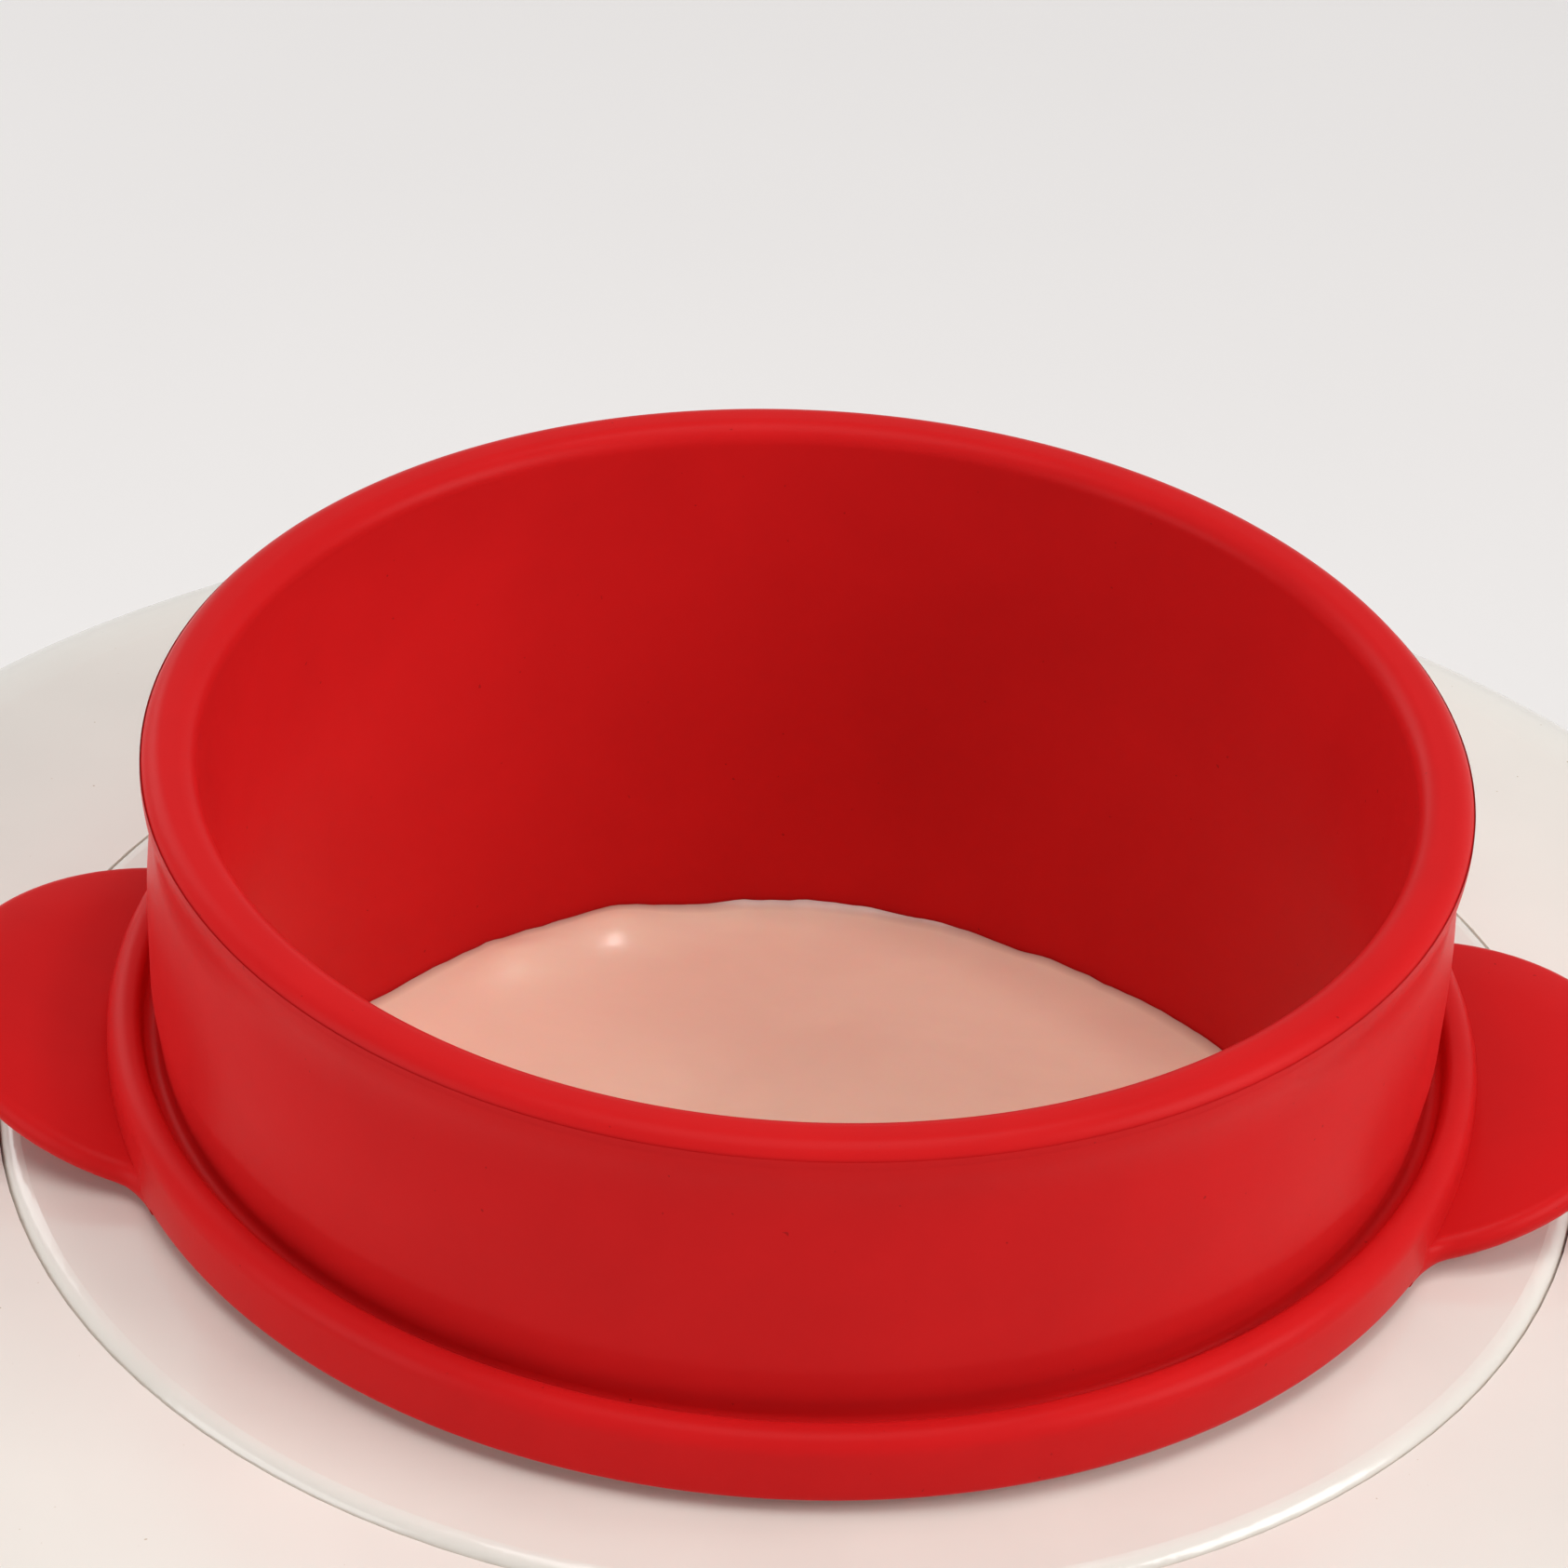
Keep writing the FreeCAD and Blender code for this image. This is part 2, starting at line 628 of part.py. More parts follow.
def shell_blank(inset):
    """The drum with its sloping deck and round shoulder, drawn in by an inset, between two flat panels."""
    slope = math.radians(DECK_SLOPE)
    shoulder = SHOULDER_RADIUS - inset
    centre_r = BODY_RADIUS - SHOULDER_RADIUS
    fall = (centre_r - RECESS_RADIUS) * math.tan(slope)
    centre_z = DECK_Z - fall - SHOULDER_RADIUS / math.cos(slope)
    deck_end = point(centre_r + shoulder * math.sin(slope), 0, centre_z + shoulder * math.cos(slope))
    apex = point(0, 0, deck_end.z + deck_end.x * math.tan(slope))
    half_turn = math.pi / 4 - slope / 2
    mid = point(centre_r + shoulder * math.cos(half_turn), 0, centre_z + shoulder * math.sin(half_turn))
    side = point(BODY_RADIUS - inset, 0, centre_z)
    foot = point(BODY_FOOT_RADIUS - inset, 0, PLINTH_Z)
    height = centre_z - PLINTH_Z
    flare = (height ** 2 + SIDE_FLARE ** 2) / (2 * SIDE_FLARE)
    half_r = side.x + flare - math.sqrt(flare ** 2 - (height / 2) ** 2)
    edges = [
        Part.LineSegment(point(0, 0, PLINTH_Z), foot),
        Part.Arc(foot, point(half_r, 0, PLINTH_Z + height / 2), side),
        Part.Arc(side, mid, deck_end),
        Part.LineSegment(deck_end, apex),
        Part.LineSegment(apex, point(0, 0, PLINTH_Z)),
    ]
    face = Part.Face(Part.Wire([edge.toShape() for edge in edges]))
    drum = face.revolve(point(0, 0, 0), UP, 360)
    half = PANEL - inset
    return drum.common(block(point(-foot.x, -half, PLINTH_Z), point(foot.x, half, apex.z)))


def dial_blank(margin, y_from, y_to):
    """The drop-shaped plate round the knob and the lamp, with a margin added to its edge."""
    low_r = DIAL_RADIUS + margin
    high_r = LAMP_LOBE + margin
    slope = math.asin((low_r - high_r) / LAMP_RISE)
    across = math.cos(slope)
    up = math.sin(slope)
    corners = [
        (low_r * across, KNOB_Z + low_r * up),
        (high_r * across, LAMP_Z + high_r * up),
        (-high_r * across, LAMP_Z + high_r * up),
        (-low_r * across, KNOB_Z + low_r * up),
    ]
    points = [point(x, y_from, z) for x, z in corners]
    edges = [
        Part.LineSegment(points[0], points[1]),
        Part.Arc(points[1], point(0, y_from, LAMP_Z + high_r), points[2]),
        Part.LineSegment(points[2], points[3]),
        Part.Arc(points[3], point(0, y_from, KNOB_Z - low_r), points[0]),
    ]
    face = Part.Face(Part.Wire([edge.toShape() for edge in edges]))
    return face.extrude(point(0, y_to - y_from, 0))


def front_rod(radius, z, near, far):
    """A round bar that runs to the front between two distances from the axis."""
    return rod(radius, point(0, -near, z), point(0, -far, z))


def upper_shell():
    recess_top = DECK_Z + RECESS_RADIUS
    recess_wall = rod(RECESS_RADIUS + SHELL_WALL, point(0, 0, CEILING_Z), point(0, 0, recess_top))
    body = shell_blank(0).cut(shell_blank(SHELL_WALL).cut(recess_wall))
    cuts = [
        rod(DECK_HOLE, point(0, 0, CEILING_Z), point(0, 0, recess_top)),
        rod(RECESS_RADIUS, point(0, 0, LEDGE_Z), point(0, 0, recess_top)),
        dial_blank(ASSEMBLY_GAP, -DIAL_BACK, -PANEL),
        front_rod(BUSHING_RADIUS + ASSEMBLY_GAP, KNOB_Z, PANEL_INSIDE, PANEL),
        front_rod(LENS_RADIUS + ASSEMBLY_GAP, LAMP_Z, PANEL_INSIDE, PANEL),
        inlet_body(ASSEMBLY_GAP),
        switch_body(ASSEMBLY_GAP),
    ]
    boss_hole = RING_SCREW_RADIUS + RING_BOSS_WALL + ASSEMBLY_GAP
    for angle in ring_screw_angles():
        low = around(RING_SCREW_CIRCLE, angle, CEILING_Z)
        cuts.append(rod(boss_hole, low, around(RING_SCREW_CIRCLE, angle, LEDGE_Z)))
    posts = []
    post_limit = shell_blank(SHELL_WALL - POST_ROOT)
    for angle in POST_ANGLES:
        low = around(POST_CIRCLE, angle, POST_Z)
        post = rod(POST_RADIUS, low, around(POST_CIRCLE, angle, DECK_Z)).common(post_limit)
        pilot_top = around(POST_CIRCLE, angle, POST_Z + BASE_SCREW_GRIP)
        posts.append(post.cut(rod(BASE_SCREW_RADIUS + SHAFT_CLEARANCE, low, pilot_top)))
    return fuse_all(body.cut(cuts), posts)


def vent_slot():
    """A round-ended slot through the base plate, on the X axis."""
    half = VENT_WIDTH / 2
    start = VENT_START + half
    end = VENT_START + VENT_LENGTH - half
    middle = block(point(start, -half, BASE_Z), point(end, half, PLINTH_Z))
    ends = [rod(half, point(x, 0, BASE_Z), point(x, 0, PLINTH_Z)) for x in (start, end)]
    return fuse_all(middle, ends)


def base_cover():
    """The floor of the housing: a plate with a plinth edge and an upstand that fits the shell."""
    upstand_r = BODY_FOOT_RADIUS - SHELL_WALL - ASSEMBLY_GAP - SIDE_FLARE
    upstand_top = PLINTH_Z + UPSTAND_HEIGHT
    plate = revolve([(0, BASE_Z), (PLINTH_RADIUS, BASE_Z), (PLINTH_RADIUS, PLINTH_Z), (0, PLINTH_Z)])
    plate = round_rings(plate, PLINTH_ROUND, [(PLINTH_RADIUS, BASE_Z), (PLINTH_RADIUS, PLINTH_Z)])
    upstand = rod(upstand_r, point(0, 0, BASE_TOP_Z), point(0, 0, upstand_top))
    half = PANEL_INSIDE - ASSEMBLY_GAP
    upstand = upstand.common(block(point(-upstand_r, -half, BASE_TOP_Z), point(upstand_r, half, upstand_top)))
    room = rod(upstand_r - UPSTAND_WALL, point(0, 0, BASE_TOP_Z), point(0, 0, upstand_top))
    half = half - UPSTAND_WALL
    room = room.common(block(point(-upstand_r, -half, BASE_TOP_Z), point(upstand_r, half, upstand_top)))
    bosses = []
    cuts = []
    for angle in POST_ANGLES:
        low = around(POST_CIRCLE, angle, BASE_Z)
        seat = low + UP * COUNTERBORE_DEPTH
        top = around(POST_CIRCLE, angle, POST_Z)
        bosses.append(rod(BASE_BOSS_RADIUS, low, top))
        cuts.append(rod(BASE_SCREW_RADIUS + HEAD_OVERHANG + ASSEMBLY_GAP, low, seat))
        cuts.append(rod(BASE_SCREW_RADIUS + ASSEMBLY_GAP, low, top))
    for angle in FOOT_ANGLES:
        low = around(FOOT_CIRCLE, angle, BASE_Z)
        cuts.append(rod(FOOT_STEM_RADIUS + CONTACT_GAP, low, low + UP * PLINTH_HEIGHT))
    for i in range(VENT_COUNT):
        vent = vent_slot()
        vent.rotate(point(0, 0, 0), UP, 360.0 * (i + 0.5) / VENT_COUNT)
        cuts.append(vent)
    return fuse_all(plate.fuse(upstand).cut(room), bosses).cut(cuts)


def base_screws():
    grip = POST_Z - BASE_Z - COUNTERBORE_DEPTH + BASE_SCREW_GRIP - CONTACT_GAP
    seats = [around(POST_CIRCLE, angle, BASE_Z + COUNTERBORE_DEPTH) for angle in POST_ANGLES]
    return Part.Compound([screw(seat, UP, BASE_SCREW_RADIUS, grip) for seat in seats])


def rubber_feet():
    feet = []
    for angle in FOOT_ANGLES:
        low = around(FOOT_CIRCLE, angle, 0)
        top = low + UP * FOOT_HEIGHT
        pad = rod(FOOT_RADIUS, low, top)
        rim = [edge for edge in pad.Edges if edge.BoundBox.ZMax < FOOT_ROUND]
        stem = rod(FOOT_STEM_RADIUS, top, top + UP * (BASE_THICKNESS + FOOT_STEM_EXTRA))
        feet.append(pad.makeFillet(FOOT_ROUND, rim).fuse(stem))
    return Part.Compound(feet)


def blade(x, y, z, direction):
    """A flat push-on terminal that leaves a face in a direction along Y or Z."""
    along = direction * BLADE_LENGTH
    wide = UP.cross(point(1, 0, 0)) if direction.z else UP
    corner = point(x - BLADE_THICKNESS / 2, y, z) - wide * (BLADE_WIDTH / 2)
    far = corner + point(BLADE_THICKNESS, 0, 0) + wide * BLADE_WIDTH + along
    low = point(min(corner.x, far.x), min(corner.y, far.y), min(corner.z, far.z))
    high = point(max(corner.x, far.x), max(corner.y, far.y), max(corner.z, far.z))
    return block(low, high)


def thermostat_body():
    """The thermostat's case on the panel's inner face, with its bushing and two blades."""
    half = THERMOSTAT_SIZE / 2
    low = point(-half, -PANEL_INSIDE, KNOB_Z - half)
    case = block(low, low + point(THERMOSTAT_SIZE, THERMOSTAT_DEPTH, THERMOSTAT_SIZE))
    case = round_along(case, THERMOSTAT_ROUND, REAR)
    bushing = front_rod(BUSHING_RADIUS, KNOB_Z, PANEL_INSIDE, NUT_FACE + BUSHING_EXTRA)
    middle_y = -PANEL_INSIDE + THERMOSTAT_DEPTH / 2
    blades = [blade(side * BLADE_SPACING / 2, middle_y, low.z, -UP) for side in (-1, 1)]
    bore_end = PANEL_INSIDE - SHAFT_INSERTION - CONTACT_GAP
    bore = front_rod(SHAFT_RADIUS + SHAFT_CLEARANCE, KNOB_Z, bore_end, NUT_FACE + BUSHING_EXTRA)
    return fuse_all(case, [bushing] + blades).cut(bore)


def thermostat_shaft():
    return front_rod(SHAFT_RADIUS, KNOB_Z, PANEL_INSIDE - SHAFT_INSERTION, SHAFT_END)


def bushing_nut():
    corner = NUT_WIDTH / math.sqrt(3)
    points = []
    for i in range(6):
        angle = math.radians(60 * i)
        points.append(point(corner * math.cos(angle), -DIAL_FACE, KNOB_Z + corner * math.sin(angle)))
    nut = Part.Face(Part.makePolygon(points + points[:1])).extrude(FRONT * NUT_THICKNESS)
    return nut.cut(front_rod(BUSHING_RADIUS + SHAFT_CLEARANCE, KNOB_Z, DIAL_FACE, NUT_FACE))


def dial_plate():
    plate = dial_blank(0, -DIAL_BACK, -DIAL_FACE)
    rim = [edge for edge in plate.Edges if abs(edge.BoundBox.YMin + DIAL_FACE) < TOLERANCE
           and abs(edge.BoundBox.YMax + DIAL_FACE) < TOLERANCE]
    plate = plate.makeFillet(DIAL_ROUND, rim)
    bushing_hole = front_rod(BUSHING_RADIUS + ASSEMBLY_GAP, KNOB_Z, DIAL_BACK, DIAL_FACE)
    lamp_hole = front_rod(LENS_RADIUS + ASSEMBLY_GAP, LAMP_Z, DIAL_BACK, DIAL_FACE)
    return plate.cut([bushing_hole, lamp_hole])


def pointer_bar(sink, proud):
    """The bar on the knob's face, from a depth below the face to a height above it."""
    low = point(-POINTER_WIDTH / 2, -KNOB_FRONT - proud, KNOB_Z + POINTER_START)
    bar = block(low, low + point(POINTER_WIDTH, sink + proud, POINTER_LENGTH))
    bar.rotate(point(0, 0, KNOB_Z), REAR, POINTER_ANGLE)
    return bar


def control_knob():
    """A skirted, fluted knob, hollow behind to clear the nut."""
    skirt = front_rod(KNOB_RADIUS, KNOB_Z, KNOB_BACK, KNOB_BACK + KNOB_SKIRT)
    grip_radius = KNOB_RADIUS - KNOB_STEP
    start = point(0, -KNOB_BACK, KNOB_Z)
    grip = Part.makeCone(grip_radius, grip_radius - KNOB_TAPER, KNOB_DEPTH, start, FRONT)
    rim = [edge for edge in grip.Edges if abs(edge.BoundBox.YMax + KNOB_FRONT) < TOLERANCE]
    grip = grip.makeFillet(KNOB_ROUND, rim)
    flutes = []
    for i in range(FLUTE_COUNT):
        angle = math.radians(360.0 * (i + 0.5) / FLUTE_COUNT)
        x = (grip_radius + FLUTE_RADIUS / 2) * math.cos(angle)
        z = KNOB_Z + (grip_radius + FLUTE_RADIUS / 2) * math.sin(angle)
        flutes.append(rod(FLUTE_RADIUS, point(x, -KNOB_BACK - KNOB_SKIRT, z), point(x, -KNOB_FRONT, z)))
    cuts = [
        front_rod(KNOB_HOLLOW_RADIUS, KNOB_Z, KNOB_BACK, KNOB_BACK + KNOB_HOLLOW_DEPTH),
        front_rod(SHAFT_RADIUS + SHAFT_CLEARANCE, KNOB_Z, KNOB_BACK, SHAFT_END + CONTACT_GAP),
        pointer_bar(POINTER_DEPTH, 0),
    ]
    return grip.cut(flutes).fuse(skirt).cut(cuts).removeSplitter()


def knob_pointer():
    return pointer_bar(POINTER_DEPTH, POINTER_PROUD)


def lamp_lens():
    """A domed lens with a rim on the dial plate and a stem through the panel."""
    rim_radius = LENS_RADIUS + LENS_RIM
    rim_face = DIAL_FACE + LENS_RIM_HEIGHT
    sphere_radius = (LENS_RADIUS ** 2 + LENS_DOME ** 2) / (2 * LENS_DOME)
    ball = Part.makeSphere(sphere_radius, point(0, -(rim_face + LENS_DOME - sphere_radius), LAMP_Z))
    dome = ball.common(front_rod(LENS_RADIUS, LAMP_Z, rim_face, rim_face + LENS_DOME))
    rim = front_rod(rim_radius, LAMP_Z, DIAL_FACE, rim_face)
    stem = front_rod(LENS_RADIUS, LAMP_Z, PANEL_INSIDE, DIAL_FACE)
    return fuse_all(rim, [dome, stem])


def lamp_body():
    flange = front_rod(LENS_RADIUS + LENS_RIM, LAMP_Z, PANEL_INSIDE - LAMP_FLANGE_THICKNESS, PANEL_INSIDE)
    bulb = front_rod(LAMP_RADIUS, LAMP_Z, PANEL_INSIDE - LAMP_FLANGE_THICKNESS - LAMP_LENGTH, PANEL_INSIDE)
    return flange.fuse(bulb).removeSplitter()


def sensor_bulb():
    """The thermostat's liquid bulb under the well, and the capillary that joins it to the case."""
    z = WELL_Z - BULB_RADIUS - CONTACT_GAP
    end = BULB_LENGTH / 2
    bulb = rod(BULB_RADIUS, point(-end, BULB_Y, z), point(end, BULB_Y, z))
    case_y = -PANEL_INSIDE + THERMOSTAT_DEPTH - 3 * CAPILLARY_RADIUS
    case_z = KNOB_Z - THERMOSTAT_SIZE / 2
    run = CAPILLARY_RUN
    capillary = route([
        (end - CONTACT_GAP, BULB_Y, z),
        (end + run, BULB_Y, z),
        (end + 1.5 * run, BULB_Y - 2 * run, z - run),
        (end, case_y + run, case_z - run),
        (0, case_y, case_z - run),
        (0, case_y, case_z),
    ], CAPILLARY_RADIUS)
    return bulb.fuse(capillary)


def saddle_clip(radius, y):
    """A strap that holds a round piece up against the well's floor."""
    reach = radius + ASSEMBLY_GAP
    outside = reach + CLIP_THICKNESS
    low_z = WELL_Z - 2 * radius - CONTACT_GAP - ASSEMBLY_GAP
    half = CLIP_WIDTH / 2
    strap = block(point(-half, y - outside, low_z - CLIP_THICKNESS), point(half, y + outside, WELL_Z))
    foot_end = outside + CLIP_FOOT
    feet = block(point(-half, y - foot_end, WELL_Z - CLIP_THICKNESS), point(half, y + foot_end, WELL_Z))
    channel = block(point(-half, y - reach, low_z), point(half, y + reach, WELL_Z))
    return strap.fuse(feet).cut(channel).removeSplitter()


def bulb_clip():
    return saddle_clip(BULB_RADIUS, BULB_Y)


def thermal_fuse():
    z = WELL_Z - FUSE_RADIUS - CONTACT_GAP
    end = FUSE_LENGTH / 2
    tail = end + FUSE_WIRE_LENGTH
    can = rod(FUSE_RADIUS, point(-end, FUSE_Y, z), point(end, FUSE_Y, z))
    return can.fuse(rod(FUSE_WIRE_RADIUS, point(-tail, FUSE_Y, z), point(tail, FUSE_Y, z)))


def fuse_clip():
    return saddle_clip(FUSE_RADIUS, FUSE_Y)


def inlet_body(margin):
    """The part of the inlet that passes through the panel, with a margin added."""
    radius = INLET_CAVITY_RADIUS + INLET_WALL + margin
    back = PANEL + BEZEL_THICKNESS - INLET_CAVITY_DEPTH - INLET_BACK
    return stadium(INLET_CAVITY_SPAN / 2, radius, INLET_X, REAR_Z, back, PANEL)


def inlet_pin_places():
    return [INLET_X + side * INLET_PITCH / 2 for side in (-1, 1)]


def power_inlet():
    half_span = INLET_CAVITY_SPAN / 2
    face = PANEL + BEZEL_THICKNESS
    floor = face - INLET_CAVITY_DEPTH
    bezel_radius = INLET_CAVITY_RADIUS + INLET_WALL + BEZEL_REACH
    bezel = stadium(half_span, bezel_radius, INLET_X, REAR_Z, PANEL, face)
    cuts = [stadium(half_span, INLET_CAVITY_RADIUS, INLET_X, REAR_Z, floor, face)]
    for x in inlet_pin_places():
        start = point(x, floor - INLET_BACK, REAR_Z)
        cuts.append(rod(PIN_RADIUS + SHAFT_CLEARANCE, start, point(x, floor, REAR_Z)))
    return bezel.fuse(inlet_body(0)).cut(cuts).removeSplitter()


def inlet_pins():
    face = PANEL + BEZEL_THICKNESS
    tail = face - INLET_CAVITY_DEPTH - INLET_BACK - PIN_TAIL
    tip = face - PIN_SHORT
    places = inlet_pin_places()
    return Part.Compound([rod(PIN_RADIUS, point(x, tail, REAR_Z), point(x, tip, REAR_Z)) for x in places])


def switch_body(margin):
    """The part of the switch that passes through the panel, with a margin added."""
    half_x = SWITCH_HALF_WIDTH + margin
    half_z = SWITCH_HALF_LENGTH + margin
    low = point(SWITCH_X - half_x, PANEL - SWITCH_DEPTH, REAR_Z - half_z)
    return block(low, point(SWITCH_X + half_x, PANEL, REAR_Z + half_z))


def switch_housing():
    """A bezel and case with a pocket for the rocker and a blind hole for each pivot."""
    half_x = SWITCH_HALF_WIDTH + BEZEL_REACH
    half_z = SWITCH_HALF_LENGTH + BEZEL_REACH
    low = point(SWITCH_X - half_x, PANEL, REAR_Z - half_z)
    bezel = block(low, point(SWITCH_X + half_x, PANEL + BEZEL_THICKNESS, REAR_Z + half_z))
    bezel = round_along(bezel, BEZEL_REACH, REAR)
    pocket_low = point(SWITCH_X - POCKET_HALF_WIDTH, PANEL - SWITCH_POCKET_DEPTH, REAR_Z - POCKET_HALF_LENGTH)
    pocket_high = point(SWITCH_X + POCKET_HALF_WIDTH, PANEL + BEZEL_THICKNESS, REAR_Z + POCKET_HALF_LENGTH)
    bearing = ROCKER_WIDTH / 2 + PIVOT_LENGTH + CONTACT_GAP
    pivot_hole = rod(PIVOT_RADIUS + SHAFT_CLEARANCE, point(SWITCH_X - bearing, PIVOT_Y, REAR_Z),
                     point(SWITCH_X + bearing, PIVOT_Y, REAR_Z))
    return bezel.fuse(switch_body(0)).cut([block(pocket_low, pocket_high), pivot_hole]).removeSplitter()


def switch_blades():
    back = PANEL - SWITCH_DEPTH
    blades = []
    for side in (-1, 1):
        upright = blade(0, 0, 0, FRONT)
        upright.rotate(point(0, 0, 0), REAR, 90)
        upright.translate(point(SWITCH_X, back, REAR_Z + side * SWITCH_BLADE_SPACING / 2))
        blades.append(upright)
    return Part.Compound(blades)


def power_rocker():
    """The rocker, stored tipped to off, with a pivot at each side."""
    half = ROCKER_LENGTH / 2
    face_y = PANEL + ROCKER_RISE
    floor_y = PANEL - ROCKER_FLOOR
    side_x = SWITCH_X - ROCKER_WIDTH / 2
    outline = [
        (face_y, -half),
        (face_y - ROCKER_DISH, 0),
        (face_y, half),
        (floor_y, half - ROCKER_TAPER),
        (floor_y, -half + ROCKER_TAPER),
    ]
    points = [point(side_x, y, REAR_Z + z) for y, z in outline]
    paddle = Part.Face(Part.makePolygon(points + points[:1])).extrude(point(ROCKER_WIDTH, 0, 0))
    bearing = ROCKER_WIDTH / 2 + PIVOT_LENGTH
    pivot_start = point(SWITCH_X - bearing, PIVOT_Y, REAR_Z)
    pivot = rod(PIVOT_RADIUS, pivot_start, point(SWITCH_X + bearing, PIVOT_Y, REAR_Z))
    rocker = paddle.fuse(pivot).removeSplitter()
    rocker.rotate(point(SWITCH_X, PIVOT_Y, REAR_Z), point(1, 0, 0), -ROCKER_TILT)
    return rocker


def terminal_block():
    """A plastic connector strip that stands on the base plate."""
    low = point(-BLOCK_LENGTH / 2, BLOCK_Y - BLOCK_WIDTH / 2, BASE_TOP_Z)
    body = block(low, low + point(BLOCK_LENGTH, BLOCK_WIDTH, BLOCK_HEIGHT))
    body = round_along(body, BLOCK_HOLE_RADIUS / 2, UP)
    wire_z = BASE_TOP_Z + BLOCK_HEIGHT / 2
    cuts = []
    for pole in range(BLOCK_POLES):
        x = (pole - (BLOCK_POLES - 1) / 2) * BLOCK_PITCH
        for side in (-1, 1):
            face_y = BLOCK_Y + side * BLOCK_WIDTH / 2
            mouth = point(x, face_y, wire_z)
            cuts.append(rod(BLOCK_HOLE_RADIUS, mouth, mouth - REAR * (side * BLOCK_HOLE_DEPTH)))
            top = point(x, BLOCK_Y + side * BLOCK_WIDTH / 4, BASE_TOP_Z + BLOCK_HEIGHT)
            cuts.append(rod(BLOCK_HOLE_RADIUS, top - UP * BLOCK_HOLE_DEPTH / 2, top))
    return body.cut(cuts)


def leads():
    """The internal leads, by name, from terminal to terminal."""
    inlet_y = PANEL + BEZEL_THICKNESS - INLET_CAVITY_DEPTH - INLET_BACK - PIN_TAIL
    near_pin, far_pin = inlet_pin_places()
    switch_y = PANEL - SWITCH_DEPTH - BLADE_LENGTH
    switch_low_z = REAR_Z - SWITCH_BLADE_SPACING / 2
    switch_high_z = REAR_Z + SWITCH_BLADE_SPACING / 2
    fuse_z = WELL_Z - FUSE_RADIUS - CONTACT_GAP
    fuse_x = FUSE_LENGTH / 2 + FUSE_WIRE_LENGTH
    heater = around(band_outside(BAND_Z), 70, BAND_Z)
    blade_z = KNOB_Z - THERMOSTAT_SIZE / 2 - BLADE_LENGTH
    blade_y = -PANEL_INSIDE + THERMOSTAT_DEPTH / 2
    blade_x = BLADE_SPACING / 2
    wire_z = BASE_TOP_Z + BLOCK_HEIGHT / 2
    block_front = BLOCK_Y - BLOCK_WIDTH / 2 + BLOCK_HOLE_DEPTH
    block_rear = BLOCK_Y + BLOCK_WIDTH / 2 - BLOCK_HOLE_DEPTH
    run = LEAD_RUN
    ring = POST_CIRCLE - BASE_BOSS_RADIUS - LEAD_RADIUS - LEAD_CLEARANCE
    drop = around(band_outside(BAND_Z) + run / 2, 66, BAND_Z - 4 * run / 3)
    routes = {
        "lead_inlet_block": [
            point(near_pin, inlet_y, REAR_Z),
            point(near_pin, inlet_y - run, REAR_Z - run / 2),
            point(-BLOCK_PITCH - run / 3, block_rear + 1.2 * run, wire_z),
            point(-BLOCK_PITCH, block_rear, wire_z)],
        "lead_inlet_switch": [
            point(far_pin, inlet_y, REAR_Z),
            point(far_pin, inlet_y - run, REAR_Z - run / 4),
            point(0, inlet_y - 1.2 * run, switch_low_z - run / 4),
            point(SWITCH_X - run / 3, switch_y - 0.8 * run, switch_low_z - run / 4),
            point(SWITCH_X, switch_y, switch_low_z)],
        "lead_switch_fuse": [
            point(SWITCH_X, switch_y, switch_high_z),
            point(SWITCH_X + run / 4, switch_y - run, switch_high_z + run / 6),
            point(fuse_x + run, FUSE_Y + run, fuse_z - run / 4),
            point(fuse_x, FUSE_Y, fuse_z)],
        "lead_fuse_heater": [
            point(-fuse_x, FUSE_Y, fuse_z),
            point(-fuse_x - run, FUSE_Y + 2 * run / 3, fuse_z - run / 4),
            point(-heater.x - run, heater.y - run, fuse_z - run / 3),
            point(-drop.x, drop.y, drop.z),
            point(-heater.x, heater.y, BAND_Z)],
        "lead_heater_thermostat": [
            heater,
            drop,
            around(ring, 48, drop.z - 4 * run / 3),
            around(ring, 14, blade_z),
            around(ring, -29, blade_z - run / 2),
            around(ring, -62, blade_z - 0.8 * run),
            point(blade_x, blade_y, blade_z)],
        "lead_thermostat_block": [
            point(-blade_x, blade_y, blade_z),
            point(-blade_x - 0.8 * run, blade_y + run, blade_z - 0.8 * run),
            point(-BLOCK_PITCH - run, blade_y + 3.4 * run, wire_z - run / 6),
            point(-BLOCK_PITCH - 0.8 * run, block_front - 2.4 * run, wire_z - run / 6),
            point(-BLOCK_PITCH, block_front, wire_z)],
    }
    return {name: route(points, LEAD_RADIUS) for name, points in routes.items()}


PIECES = [
    silicone_pot, wax_fill, collar_ring, collar_screws, heating_well, well_gasket, heater_band, band_screw,
    insulation_wrap, upper_shell, base_cover, base_screws, rubber_feet, thermostat_body, thermostat_shaft,
    bushing_nut, dial_plate, control_knob, knob_pointer, lamp_lens, lamp_body, sensor_bulb, bulb_clip,
    thermal_fuse, fuse_clip, power_inlet, inlet_pins, switch_housing, switch_blades, power_rocker,
    terminal_block,
]

os.makedirs("parts", exist_ok=True)
solids = {piece.__name__: piece() for piece in PIECES}
solids.update(leads())
for name, solid in solids.items():
    solid.exportStep(os.path.join("parts", name + ".step"))
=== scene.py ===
"""Looks of a countertop wax warmer with a red silicone lift-out pot, in metres."""
import json
import math

import bmesh
import bpy
from mathutils import Matrix, Vector, noise
from mathutils.bvhtree import BVHTree


